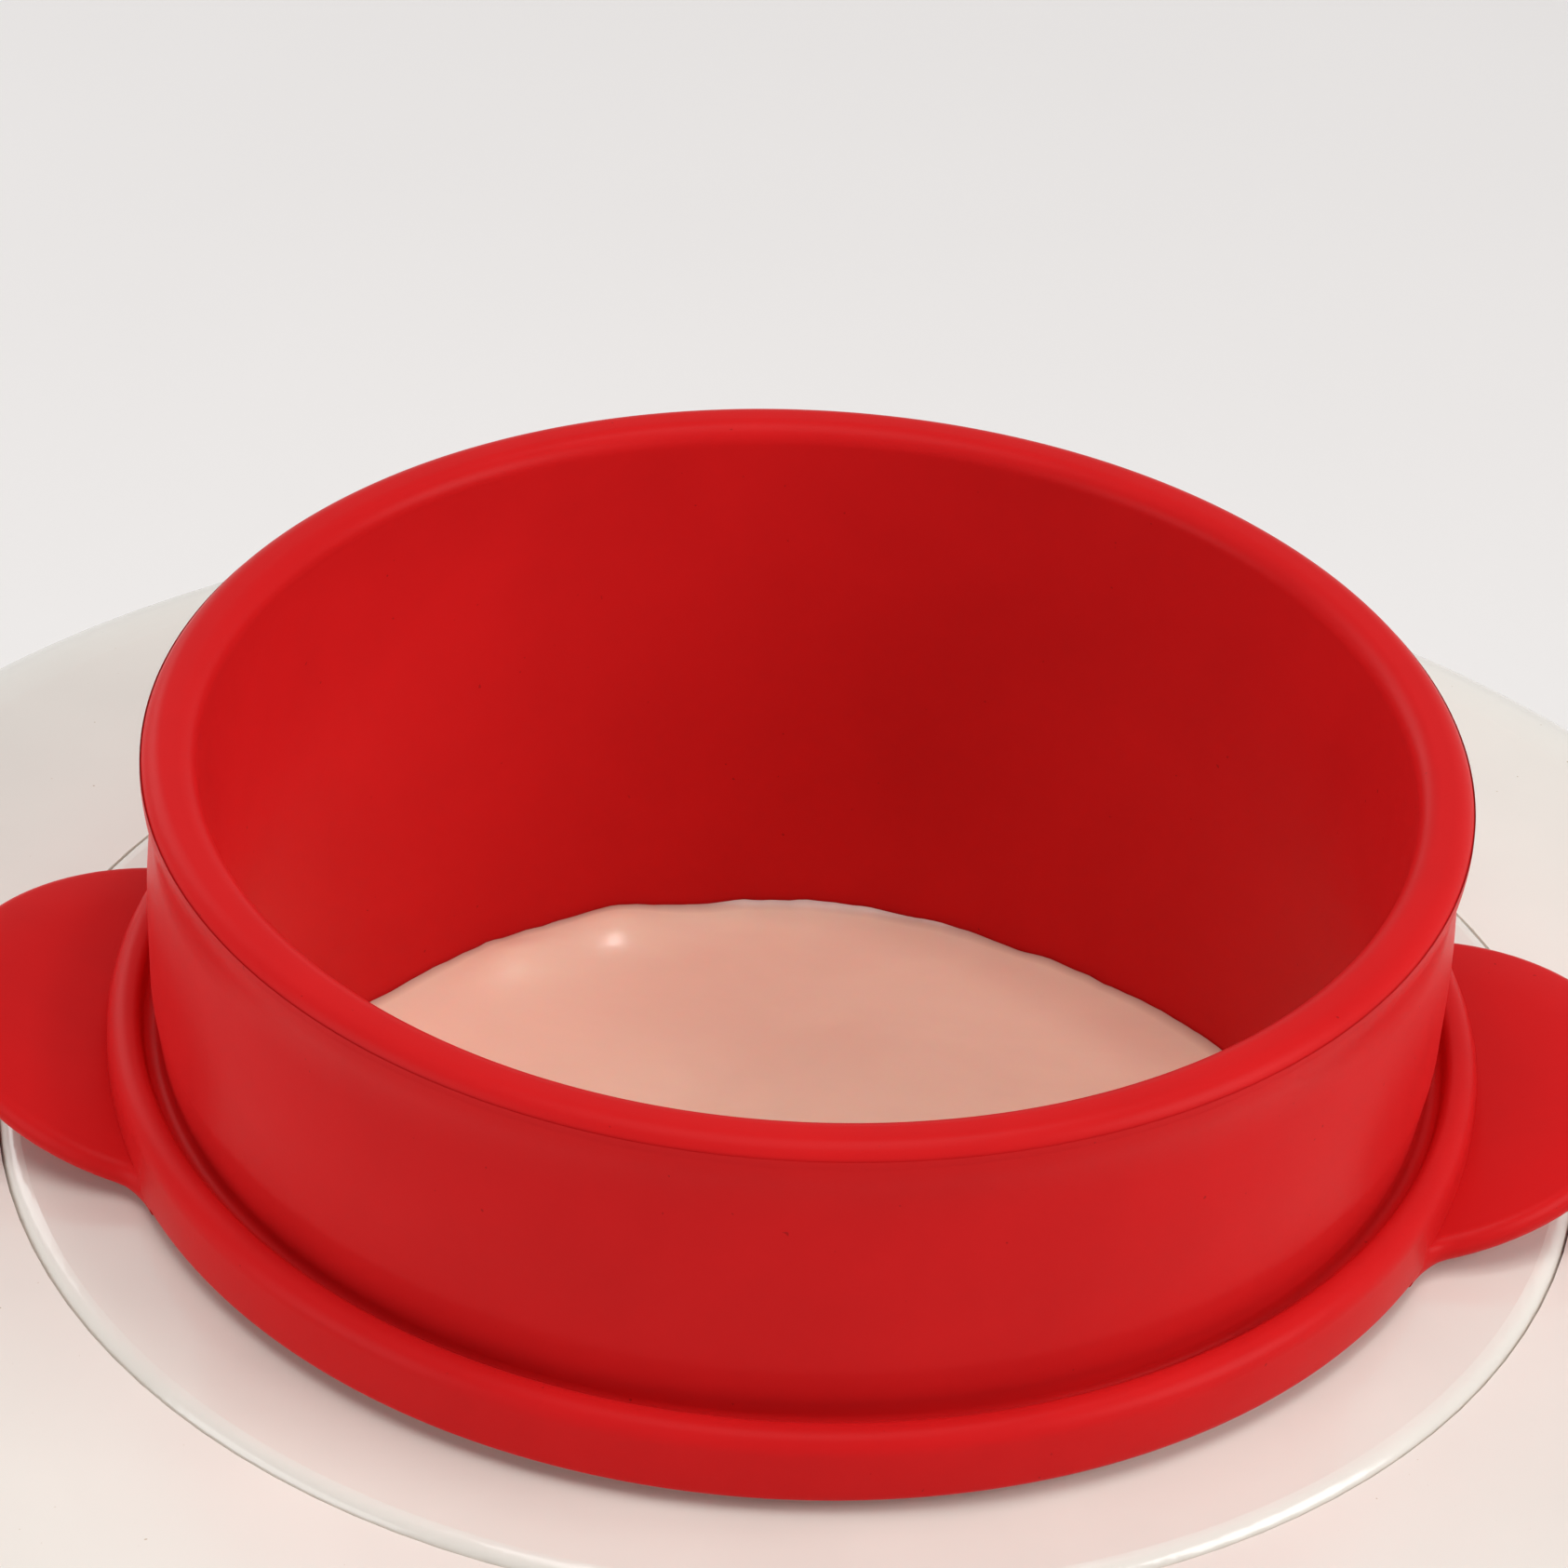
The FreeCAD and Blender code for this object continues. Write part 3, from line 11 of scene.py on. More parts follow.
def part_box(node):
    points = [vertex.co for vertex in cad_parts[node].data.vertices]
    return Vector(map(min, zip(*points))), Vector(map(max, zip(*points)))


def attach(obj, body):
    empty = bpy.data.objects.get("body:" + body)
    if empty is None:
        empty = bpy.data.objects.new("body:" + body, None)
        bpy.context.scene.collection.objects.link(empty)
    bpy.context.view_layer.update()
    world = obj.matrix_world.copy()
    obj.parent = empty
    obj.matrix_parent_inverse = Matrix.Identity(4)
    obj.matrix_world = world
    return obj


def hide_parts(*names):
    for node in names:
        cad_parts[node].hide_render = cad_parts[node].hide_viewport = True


MM = 0.001

# Camera, measured from the rim's centre
FRAME_PIXELS = 1685
FOCAL_PIXELS = 7896
SENSOR = 36.0
CAMERA_DISTANCE = 550 * MM
CAMERA_ELEVATION = math.radians(34.06)
CAMERA_ROLL = math.radians(3.29)
CAMERA_RIGHT = -1.93 * MM
CAMERA_UP = -2.73 * MM
CLIP_START = 10 * MM

# Silicone pot
RIM_RADIUS = 50.0 * MM
RIM_WIDTH = 4.2 * MM
RIM_HEIGHT = 4.6 * MM
COLLAR_INSET = 0.8 * MM
COLLAR_HEIGHT = 26.1 * MM
COLLAR_BULGE = 0.3 * MM
CREASE_TUCK = 0.9 * MM
CREASE_DEPTH = 1.7 * MM
CREASE_HEIGHT = 3.6 * MM
CREST_REACH = 0.9 * MM
CREST_SLOPE = 0.4 * MM
POT_WALL = 2.8 * MM
POT_DRAFT = math.radians(3.0)
FLANGE_REACH = 3.3 * MM
FLANGE_THICKNESS = 2.2 * MM
LIP_THICKNESS = 1.8 * MM
LIP_DROP = 3.6 * MM
BOWL_FLOOR = 2.8 * MM
BOWL_CORNER = 9.0 * MM
BEAD_RISE = 3 * COLLAR_INSET
SEAT_ROUND = 0.4 * MM
LIP_INSIDE_ROUND = 0.5 * MM
LIP_ROUND = 0.7 * MM
FLANGE_ROUND = 1.7 * MM
CREST_ROUND = 0.6 * MM
CREASE_OUTER_ROUND = 0.5 * MM
CREASE_INNER_ROUND = 0.7 * MM
COLLAR_FOOT_ROUND = 8 * MM
COLLAR_MIDDLE_ROUND = 60 * MM
BEAD_FOOT_ROUND = 12 * MM
BEAD_ROUND = 9 * MM
RIM_ROUND = 1.7 * MM

# Fineness of the meshes
LATHE_STEPS = 360
PROFILE_STEP = 0.25 * MM
LEAST_ARC_STEPS = 3
AXIS_LIMIT = 0.05 * MM
SLIVER = 0.001 * MM
POT_SHARP = math.radians(40)
WAX_SHARP = math.radians(60)

# Ears of the pot
EAR_RADIUS = 20.5 * MM
EAR_REACH = 13.1 * MM
EAR_THICKNESS = 2.2 * MM
EAR_RISE = math.radians(11.0)
EAR_LIFT = 0.1 * MM
EAR_BLEND = 5.0 * MM
EAR_DROOP = 0.9 * MM
EAR_DROOP_WIDTH = 6.0 * MM
EAR_SINK = 0.2 * MM
EAR_EDGE_SHARE = 0.45
EAR_STEPS = 72
BLEND_STEPS = 14
EAR_FLAT_ROWS = 14
EAR_ROUND_ROWS = 7

# Wax
WAX_GAP = 0.1 * MM
WAX_SWELL = 0.12 * MM
SWELL_SCALE = 60

# Film of wax that climbs the wall, and soft lumps near it by angle, radius and height
FILM_LOW = 0.15 * MM
FILM_HIGH = 2.6 * MM
FILM_WIDTH = 1.8 * MM
FILM_LEAST_WIDTH = 0.5
# Band next to the wall where the wax turns to a darker brown tint: partly the thin film with the red wall showing
# through, partly painted shade where the wax meets the wall
FILM_AND_SHADE_BAND = 0.9 * MM
FILM_AND_SHADE_TINT = (0.66, 0.40, 0.30)
FILM_BACK = 1.0 * MM
FILM_BACK_ANGLE = math.radians(88)
FILM_BACK_WIDTH = math.radians(18)
FILM_RIGHT = 1.6 * MM
FILM_RIGHT_POWER = 4
FILM_ROUGH = 0.22 * MM
FILM_BROAD = 2.1
FILM_MIDDLE = 9.0
FILM_FINE = 24.0
FILM_FINE_SHARE = 0.7
FILM_SHIFT = Vector((4, 1, 7))
LUMP_WIDTH = 2.9 * MM
LUMP_LENGTH = 4.6 * MM
LUMPS = (
    (math.radians(111.5), 41.4 * MM, 1.65 * MM),
    (math.radians(124.5), 40.6 * MM, 1.4 * MM),
)
WAX_STEPS = 360
WAX_ROWS = 60
WAX_WALL_ROWS = 10

# Floor and backdrop
FLOOR_HALF = 6.0
FLOOR_CELLS = 8
FADE_START = 0.45
FADE_END = 1.3
BACKDROP = (0.82, 0.80, 0.79, 1)

# Light: each lamp's name, place, width and power
LAMP_AIM = Vector((0, 0, 0.09))
LAMPS = (
    ("key", (0.97, -0.33, 0.62), 0.6, 7.2),
    ("overhead", (0.0, -0.2, 1.15), 0.7, 5.1),
    ("fill", (-1.0, -0.45, 0.35), 0.7, 4.2),
    ("back", (-0.7, 0.8, 0.6), 0.6, 2.6),
    ("glint", (0.2, 0.1, 1.0), 0.1, 0.7),
)
SKY_COLOUR = (0.95, 0.96, 1.0, 1)
SKY_STRENGTH = 0.16

# Unevenness of the materials
PATCH_LOW = 0.3
PATCH_HIGH = 0.7
PATCH_WARP = 0.4
SPECK_EDGE = 0.03

# Printed marks
PRINT_RISE = 0.10 * MM
PRINT_SINK = 0.05 * MM
DIAL_START = 225.0
DIAL_STEP = 45.0
DIAL_NUMBERS = 7
TICK_INSIDE = 18.0 * MM
TICK_OUTSIDE = 19.9 * MM
TICK_WIDTH = 0.6 * MM
HALF_TICK_INSIDE = 18.6 * MM
HALF_TICK_WIDTH = 0.4 * MM
NUMBER_CIRCLE = 22.1 * MM
NUMBER_SIZE = 3.6 * MM
MARK_OFFSET = 4.6 * MM
MARK_RADIUS = 1.6 * MM
MARK_STROKE = 0.5 * MM
MARK_STEPS = 32
BAR_END_STEPS = 8

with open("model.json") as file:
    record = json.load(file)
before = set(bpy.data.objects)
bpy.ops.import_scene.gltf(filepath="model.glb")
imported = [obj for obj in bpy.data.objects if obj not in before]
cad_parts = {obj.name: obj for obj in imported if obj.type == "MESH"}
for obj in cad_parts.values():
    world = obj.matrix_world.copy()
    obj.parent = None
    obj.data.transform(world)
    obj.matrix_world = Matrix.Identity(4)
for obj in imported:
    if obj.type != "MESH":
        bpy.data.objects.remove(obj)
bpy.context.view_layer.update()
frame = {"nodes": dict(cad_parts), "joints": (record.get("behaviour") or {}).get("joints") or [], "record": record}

pot_low, pot_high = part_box("silicone_pot")
RIM_Z = pot_high[2]
POT_Z = pot_low[2]
SEAT_Z = RIM_Z - COLLAR_HEIGHT
POT_FLOOR_Z = POT_Z + BOWL_FLOOR
WAX_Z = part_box("wax_fill")[1][2]
COLLAR_RADIUS = RIM_RADIUS - COLLAR_INSET
LIP_RADIUS = COLLAR_RADIUS + FLANGE_REACH
LIP_INSIDE = LIP_RADIUS - LIP_THICKNESS


def pot_inside(z):
    """Radius of the pot's inner wall at a level."""
    return RIM_RADIUS - RIM_WIDTH - (RIM_Z - z) * math.tan(POT_DRAFT)


def spun(v, angle):
    """A flat vector turned anticlockwise."""
    cos, sin = math.cos(angle), math.sin(angle)
    return Vector((v.x * cos - v.y * sin, v.x * sin + v.y * cos))


def polar(radius, angle, z=0):
    """A place at a distance and an angle round the upright axis."""
    return Vector((radius * math.cos(angle), radius * math.sin(angle), z))


def joint_place(name):
    """Where a joint of the frame turns."""
    return Vector(next(joint["pos_m"] for joint in frame["joints"] if joint["name"] == name))


# Mesh helpers


def new_object(name, bm):
    """Turn a bmesh into a smooth-shaded object."""
    bmesh.ops.recalc_face_normals(bm, faces=bm.faces)
    mesh = bpy.data.meshes.new(name)
    bm.to_mesh(mesh)
    bm.free()
    mesh.shade_smooth()
    obj = bpy.data.objects.new(name, mesh)
    bpy.context.scene.collection.objects.link(obj)
    return obj


def rounded(corners):
    """Turn (radius, level, round) corners into a line of points, with an arc at each rounded corner."""
    points = [Vector(corners[0][:2])]
    for before, corner, after in zip(corners, corners[1:], corners[2:]):
        here = Vector(corner[:2])
        back = (Vector(before[:2]) - here).normalized()
        on = (Vector(after[:2]) - here).normalized()
        radius = corner[2]
        half = back.angle(on) / 2
        centre = here + (back + on).normalized() * (radius / math.sin(half))
        start = here + back * (radius / math.tan(half)) - centre
        end = here + on * (radius / math.tan(half)) - centre
        turn = start.angle_signed(end)
        count = max(LEAST_ARC_STEPS, int(abs(turn) * radius / PROFILE_STEP))
        for i in range(count + 1):
            points.append(centre + spun(start, -turn * i / count))
    points.append(Vector(corners[-1][:2]))
    return points


def turned(radius, z, steps):
    """A level ring of points, or one point on the axis."""
    if radius < AXIS_LIMIT:
        return [Vector((0, 0, z))]
    angles = [2 * math.pi * i / steps for i in range(steps)]
    return [polar(radius, a, z) for a in angles]


def skin(rings):
    """Join rings of points into one surface, with a fan at a ring of one point."""
    bm = bmesh.new()
    made = [[bm.verts.new(p) for p in ring] for ring in rings]
    for low, high in zip(made, made[1:]):
        count = max(len(low), len(high))
        for i in range(count):
            j = (i + 1) % count
            if len(low) == 1:
                bm.faces.new((low[0], high[j], high[i]))
            elif len(high) == 1:
                bm.faces.new((low[i], low[j], high[0]))
            else:
                bm.faces.new((low[i], low[j], high[j], high[i]))
    return bm


def unite(obj, others):
    """Fuse other closed meshes into one object and drop them."""
    for other in others:
        step = obj.modifiers.new("unite", "BOOLEAN")
        step.operation = "UNION"
        step.solver = "EXACT"
        step.object = other
    graph = bpy.context.evaluated_depsgraph_get()
    mesh = bpy.data.meshes.new_from_object(obj.evaluated_get(graph))
    obj.modifiers.clear()
    obj.data = mesh
    for other in others:
        bpy.data.objects.remove(other)
    bm = bmesh.new()
    bm.from_mesh(mesh)
    bmesh.ops.triangulate(bm, faces=[face for face in bm.faces if len(face.verts) > 4])
    bmesh.ops.dissolve_degenerate(bm, dist=SLIVER, edges=bm.edges)
    bm.to_mesh(mesh)
    bm.free()
    mesh.shade_smooth()
    mesh.set_sharp_from_angle(angle=POT_SHARP)


# Pot


def pot_profile():
    """Half section of the pot, from the axis under the floor round to the axis inside."""
    flange_z = SEAT_Z + FLANGE_THICKNESS
    lip_z = SEAT_Z - LIP_DROP
    bead_z = RIM_Z - RIM_HEIGHT
    foot_z = flange_z + CREASE_HEIGHT
    crease_z = flange_z - CREASE_DEPTH
    crest = COLLAR_RADIUS + CREST_REACH
    corners = [
        (0, POT_Z, 0),
        (pot_inside(POT_Z) + POT_WALL, POT_Z, BOWL_CORNER),
        (pot_inside(SEAT_Z) + POT_WALL, SEAT_Z, SEAT_ROUND),
        (LIP_INSIDE, SEAT_Z, SEAT_ROUND),
        (LIP_INSIDE, lip_z, LIP_INSIDE_ROUND),
        (LIP_RADIUS, lip_z, LIP_ROUND),
        (LIP_RADIUS, flange_z, FLANGE_ROUND),
        (crest, flange_z, CREST_ROUND),
        (crest - CREST_SLOPE, crease_z, CREASE_OUTER_ROUND),
        (COLLAR_RADIUS - CREASE_TUCK, crease_z, CREASE_INNER_ROUND),
        (COLLAR_RADIUS, foot_z, COLLAR_FOOT_ROUND),
        (COLLAR_RADIUS + COLLAR_BULGE, (foot_z + bead_z) / 2, COLLAR_MIDDLE_ROUND),
        (COLLAR_RADIUS, bead_z - COLLAR_INSET, BEAD_FOOT_ROUND),
        (RIM_RADIUS, bead_z + BEAD_RISE, BEAD_ROUND),
        (RIM_RADIUS, RIM_Z, RIM_ROUND),
        (pot_inside(RIM_Z), RIM_Z, RIM_ROUND),
        (pot_inside(POT_FLOOR_Z), POT_FLOOR_Z, BOWL_CORNER - POT_WALL),
        (0, POT_FLOOR_Z, 0),
    ]
    return rounded(corners)


def ear_edge():
    """Plan of the ear's edge from one side of the lip to the other."""
    lip = LIP_RADIUS - EAR_SINK
    centre = Vector((LIP_RADIUS + EAR_REACH - EAR_RADIUS, 0))
    lip_reach = lip + EAR_BLEND
    ear_reach = EAR_RADIUS + EAR_BLEND
    blend_x = (lip_reach ** 2 - ear_reach ** 2 + centre.x ** 2) / (2 * centre.x)
    blend = Vector((blend_x, -math.sqrt(lip_reach ** 2 - blend_x ** 2)))
    start = (-blend).normalized()
    turn = start.angle_signed((centre - blend).normalized())
    side = [blend + spun(start, -turn * i / BLEND_STEPS) * EAR_BLEND for i in range(BLEND_STEPS)]
    first = (blend - centre).normalized()
    sweep = 2 * math.acos(first.x)
    tip = [centre + spun(first, sweep * i / EAR_STEPS) * EAR_RADIUS for i in range(EAR_STEPS + 1)]
    return side + tip + [Vector((p.x, -p.y)) for p in reversed(side)]


def ear():
    """A tab that stands out from the lip, with a full round edge that bends down a little."""
    edge = ear_edge()
    root = LIP_RADIUS - LIP_THICKNESS / 2
    first = math.atan2(edge[0].y, edge[0].x)
    hinge_z = SEAT_Z - LIP_DROP + EAR_LIFT
    half = EAR_THICKNESS / 2
    bm = bmesh.new()
    tops, bottoms = [], []
    for i, outer in enumerate(edge):
        angle = first * (1 - 2 * i / (len(edge) - 1))
        inner = Vector((root * math.cos(angle), root * math.sin(angle)))
        length = (outer - inner).length
        corner = min(half, EAR_EDGE_SHARE * length)
        flat = [length - (length - corner) * j / EAR_FLAT_ROWS for j in range(EAR_FLAT_ROWS)]
        bend = [corner * (1 - math.sin(math.pi / 2 * j / EAR_ROUND_ROWS)) for j in range(EAR_ROUND_ROWS + 1)]
        top, bottom = [], []
        for from_edge in flat + bend:
            place = outer + (inner - outer) * (from_edge / length)
            droop = EAR_DROOP * min(1, length / EAR_REACH) * max(0, 1 - from_edge / EAR_DROOP_WIDTH) ** 2
            middle = hinge_z + half + (place.x - LIP_INSIDE) * math.tan(EAR_RISE) - droop
            thick = half * math.sqrt(1 - (1 - min(1, from_edge / corner)) ** 2)
            top.append(bm.verts.new((place.x, place.y, middle + thick)))
            shared = from_edge < SLIVER
            bottom.append(top[-1] if shared else bm.verts.new((place.x, place.y, middle - thick)))
        tops.append(top)
        bottoms.append(bottom)
    for sheet in (tops, bottoms):
        for here, there in zip(sheet, sheet[1:]):
            for j in range(len(here) - 1):
                bm.faces.new((here[j], here[j + 1], there[j + 1], there[j]))
    for i in range(len(edge) - 1):
        bm.faces.new((tops[i][0], tops[i + 1][0], bottoms[i + 1][0], bottoms[i][0]))
    for top, bottom in ((tops[0], bottoms[0]), (tops[-1], bottoms[-1])):
        for j in range(len(top) - 2):
            bm.faces.new((top[j], top[j + 1], bottom[j + 1], bottom[j]))
        bm.faces.new((top[-2], top[-1], bottom[-2]))
    return bm


def silicone_pot():
    """The pot with both ears, as one closed mesh."""
    pot = new_object("pot", skin([turned(p.x, p.y, LATHE_STEPS) for p in pot_profile()]))
    right = new_object("right_ear", ear())
    left = new_object("left_ear", ear())
    left.data.transform(Matrix.Rotation(math.pi, 4, "Z"))
    unite(pot, [right, left])
    return pot


# Wax


def film(angle):
    """How far the wax climbs the wall at an angle: uneven, and further at the back and on the right."""
    place = polar(1, angle)
    uneven = noise.noise(place * FILM_BROAD + FILM_SHIFT)
    uneven += noise.noise(place * FILM_MIDDLE)
    uneven += FILM_FINE_SHARE * noise.noise(place * FILM_FINE)
    back = math.exp(-((angle - FILM_BACK_ANGLE) / FILM_BACK_WIDTH) ** 2)
    climb = FILM_BACK * back + FILM_RIGHT * max(0, place.x) ** FILM_RIGHT_POWER + FILM_ROUGH * uneven
    return FILM_LOW + max(0, climb)


def lumps(spot):
    """Height of the soft lumps in the wax near the wall, at a place."""
    total = 0
    for angle, radius, height in LUMPS:
        away = spun(spot, -angle) - Vector((radius, 0))
        total += height * math.exp(-(away.x / LUMP_WIDTH) ** 2 - (away.y / LUMP_LENGTH) ** 2)
    return total


def wax():
    """The wax, level in the middle, with a film drawn up the wall and soft lumps near it."""
    angles = [2 * math.pi * i / WAX_STEPS for i in range(WAX_STEPS)]
    low = POT_FLOOR_Z + WAX_GAP
    start = WAX_Z - FILM_WIDTH
    side = rounded([
        (0, low, 0),
        (pot_inside(low) - WAX_GAP, low, BOWL_CORNER - POT_WALL),
        (pot_inside(start) - WAX_GAP, start, 0),
    ])
    rings = [turned(p.x, p.y, WAX_STEPS) for p in side]
    films = [film(a) for a in angles]
    wall = pot_inside(WAX_Z) - WAX_GAP
    tops = [WAX_Z + climb + lumps(polar(wall, a)) for a, climb in zip(angles, films)]
    for row in range(1, WAX_WALL_ROWS + 1):
        ring = []
        for a, top in zip(angles, tops):
            z = start + (top - start) * row / WAX_WALL_ROWS
            ring.append(polar(pot_inside(z) - WAX_GAP, a, z))
        rings.append(ring)
    for row in range(1, WAX_ROWS):
        inward = (row / WAX_ROWS) ** 2
        ring = []
        for a, climb, brink in zip(angles, films, rings[len(side) + WAX_WALL_ROWS - 1]):
            reach = math.hypot(brink.x, brink.y)
            r = reach * (1 - inward)
            fade = math.exp(-(reach - r) / (FILM_WIDTH * (FILM_LEAST_WIDTH + climb / FILM_HIGH)))
            spot = polar(r, a)
            level = climb * fade + WAX_SWELL * noise.noise(spot * SWELL_SCALE) * (1 - fade) + lumps(spot)
            ring.append(polar(r, a, WAX_Z + level))
        rings.append(ring)
    rings.append([Vector((0, 0, WAX_Z))])
    made = new_object("wax", skin(rings))
    made.data.set_sharp_from_angle(angle=WAX_SHARP)
    return made


# Printed marks


def capsule(width, length):
    """Outline of a bar with round ends, along the second axis from its middle."""
    half = width / 2
    run = length / 2 - half
    points = []
    for centre, first in ((run, 0), (-run, math.pi)):
        for i in range(BAR_END_STEPS + 1):
            angle = first + math.pi * i / BAR_END_STEPS
            points.append(Vector((half * math.cos(angle), centre + half * math.sin(angle))))
    return points


def plate(bm, outline, front):
    """A thin flat plate of one outline; front gives the place of an outline point at a height."""
    top = [bm.verts.new(front(p, PRINT_RISE)) for p in outline]
    bottom = [bm.verts.new(front(p, -PRINT_SINK)) for p in outline]
    bm.faces.new(top)
    bm.faces.new(bottom[::-1])
    for i in range(len(outline)):
        j = (i + 1) % len(outline)
        bm.faces.new((top[i], bottom[i], bottom[j], top[j]))


def number_mesh(text):
    """A figure as a thin flat mesh, centred, facing up."""
    curve = bpy.data.curves.new("figure", "FONT")
    curve.body = text
    curve.size = NUMBER_SIZE
    curve.align_x = "CENTER"
    curve.align_y = "CENTER"
    curve.extrude = (PRINT_RISE + PRINT_SINK) / 2
    holder = bpy.data.objects.new("figure", curve)
    bpy.context.scene.collection.objects.link(holder)
    graph = bpy.context.evaluated_depsgraph_get()
    mesh = bpy.data.meshes.new_from_object(holder.evaluated_get(graph))
    bpy.data.objects.remove(holder)
    return mesh


def dial_marks():
    """Ticks and figures printed round the knob."""
    hub = joint_place("knob_turn")
    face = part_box("dial_plate")[0][1]
    bm = bmesh.new()
    for i in range(2 * DIAL_NUMBERS - 1):
        angle = math.radians(DIAL_START - DIAL_STEP * i / 2)
        is_half = i % 2 == 1
        near = HALF_TICK_INSIDE if is_half else TICK_INSIDE
        width = HALF_TICK_WIDTH if is_half else TICK_WIDTH
        middle = (near + TICK_OUTSIDE) / 2

        def front(p, rise, angle=angle, middle=middle):
            """Place of a tick's outline point at a height over the dial."""
            flat = spun(Vector((p.x, p.y + middle)), angle - math.pi / 2)
            return Vector((hub.x + flat.x, face - rise, hub.z + flat.y))

        plate(bm, capsule(width, TICK_OUTSIDE - near), front)
    stand = Matrix.Rotation(math.pi / 2, 4, "X")
    level = face - (PRINT_RISE - PRINT_SINK) / 2
    for i in range(DIAL_NUMBERS):
        angle = math.radians(DIAL_START - DIAL_STEP * i)
        across = NUMBER_CIRCLE * math.cos(angle)
        rise = NUMBER_CIRCLE * math.sin(angle)
        place = Vector((hub.x + across, level, hub.z + rise))
        mesh = number_mesh(str(i))
        mesh.transform(Matrix.Translation(place) @ stand)
        bm.from_mesh(mesh)
        bpy.data.meshes.remove(mesh)
    marks = new_object("dial_marks", bm)
    marks.data.shade_flat()
    return marks


def rocker_marks():
    """A bar and a ring on the rocker, laid on its curved face."""
    hub = joint_place("rocker_tip")
    rocker = frame["nodes"]["power_rocker"].data
    tree = BVHTree.FromPolygons([v.co for v in rocker.vertices], [p.vertices for p in rocker.polygons])
    far = hub.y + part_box("power_rocker")[1][1]
    bm = bmesh.new()

    def front(p, rise, lift):
        """Place of a mark's point at a height over the rocker's face."""
        hit = tree.ray_cast(Vector((hub.x + p.x, far, hub.z + lift + p.y)), Vector((0, -1, 0)))[0]
        return Vector((hit.x, hit.y + rise, hit.z))

    turns = [2 * math.pi * i / MARK_STEPS for i in range(MARK_STEPS)]
    inside, outside = MARK_RADIUS - MARK_STROKE, MARK_RADIUS
    rings = []
    section = [(inside, -PRINT_SINK), (inside, PRINT_RISE), (outside, PRINT_RISE), (outside, -PRINT_SINK)]
    for r, rise in section:
        outline = [Vector((r * math.cos(a), r * math.sin(a))) for a in turns]
        rings.append([bm.verts.new(front(p, rise, -MARK_OFFSET)) for p in outline])
    for low, high in zip(rings, rings[1:] + rings[:1]):
        for i in range(MARK_STEPS):
            j = (i + 1) % MARK_STEPS
            bm.faces.new((low[i], low[j], high[j], high[i]))
    plate(bm, capsule(MARK_STROKE, 2 * MARK_RADIUS), lambda p, rise: front(p, rise, MARK_OFFSET))
    marks = new_object("rocker_marks", bm)
    marks.data.shade_flat()
    return marks


# Materials


def add(tree, kind, **values):
    """Add a node and set its inputs by name."""
    node = tree.nodes.new(kind)
    for name, value in values.items():
        node.inputs[name.replace("_", " ")].default_value = value
    return node


def speckle(tree, size, detail=3.0, stretch=(1, 1, 1), warp=0.0):
    """Noise of a given size in millimetres, in the object's own space."""
    place = tree.nodes.new("ShaderNodeTexCoord")
    mapping = add(tree, "ShaderNodeMapping", Scale=stretch)
    texture = add(tree, "ShaderNodeTexNoise", Scale=1 / (size * MM), Detail=detail, Distortion=warp)
    tree.links.new(place.outputs["Object"], mapping.inputs["Vector"])
    tree.links.new(mapping.outputs["Vector"], texture.inputs["Vector"])
    return texture.outputs["Fac"]


def ramp(tree, factor, stops):
    """Colours that follow a factor."""
    node = tree.nodes.new("ShaderNodeValToRGB")
    bar = node.color_ramp.elements
    while len(bar) < len(stops):
        bar.new(1.0)
    for element, (position, colour) in zip(bar, stops):
        element.position = position
        element.color = (*colour, 1)
    tree.links.new(factor, node.inputs["Fac"])
    return node.outputs["Color"]


def spread(tree, factor, low, high):
    """A number that follows a factor, from low to high."""
    node = add(tree, "ShaderNodeMapRange", To_Min=low, To_Max=high)
    tree.links.new(factor, node.inputs["Value"])
    return node.outputs["Result"]


def mixed(tree, factor, base, other):
    """A colour changed to another where a factor says so."""
    node = tree.nodes.new("ShaderNodeMix")
    node.data_type = "RGBA"
    tree.links.new(factor, node.inputs["Factor"])
    tree.links.new(base, node.inputs["A"])
    node.inputs["B"].default_value = (*other, 1)
    return node.outputs["Result"]


def scaled(colour, share):
    """A lighter or darker colour."""
    return tuple(min(1.0, c * share) for c in colour)


def finish(name, colour, shift, blotch, rough, grain, depth, stretch=(1, 1, 1), specks=None, **shader_values):
    """A material with uneven colour, uneven gloss and a fine grain; sizes in millimetres."""
    made = bpy.data.materials.new(name)
    made.use_nodes = True
    tree = made.node_tree
    shader = tree.nodes["Principled BSDF"]
    for key, value in shader_values.items():
        shader.inputs[key.replace("_", " ")].default_value = value
    patches = speckle(tree, blotch, stretch=stretch, warp=PATCH_WARP)
    stops = [(PATCH_LOW, scaled(colour, 1 - shift)), (PATCH_HIGH, scaled(colour, 1 + shift))]
    colours = ramp(tree, patches, stops)
    if specks:
        size, amount, tint = specks
        edge = [(amount, (0, 0, 0)), (amount + SPECK_EDGE, (1, 1, 1))]
        dots = ramp(tree, speckle(tree, size, detail=1.0), edge)
        colours = mixed(tree, dots, colours, tint)
    tree.links.new(colours, shader.inputs["Base Color"])
    gloss = speckle(tree, blotch, detail=1.0, stretch=stretch)
    tree.links.new(spread(tree, gloss, *rough), shader.inputs["Roughness"])
    bump = add(tree, "ShaderNodeBump", Strength=1.0, Distance=depth * MM)
    tree.links.new(speckle(tree, grain, detail=2.0, stretch=stretch), bump.inputs["Height"])
    tree.links.new(bump.outputs["Normal"], shader.inputs["Normal"])
    return made


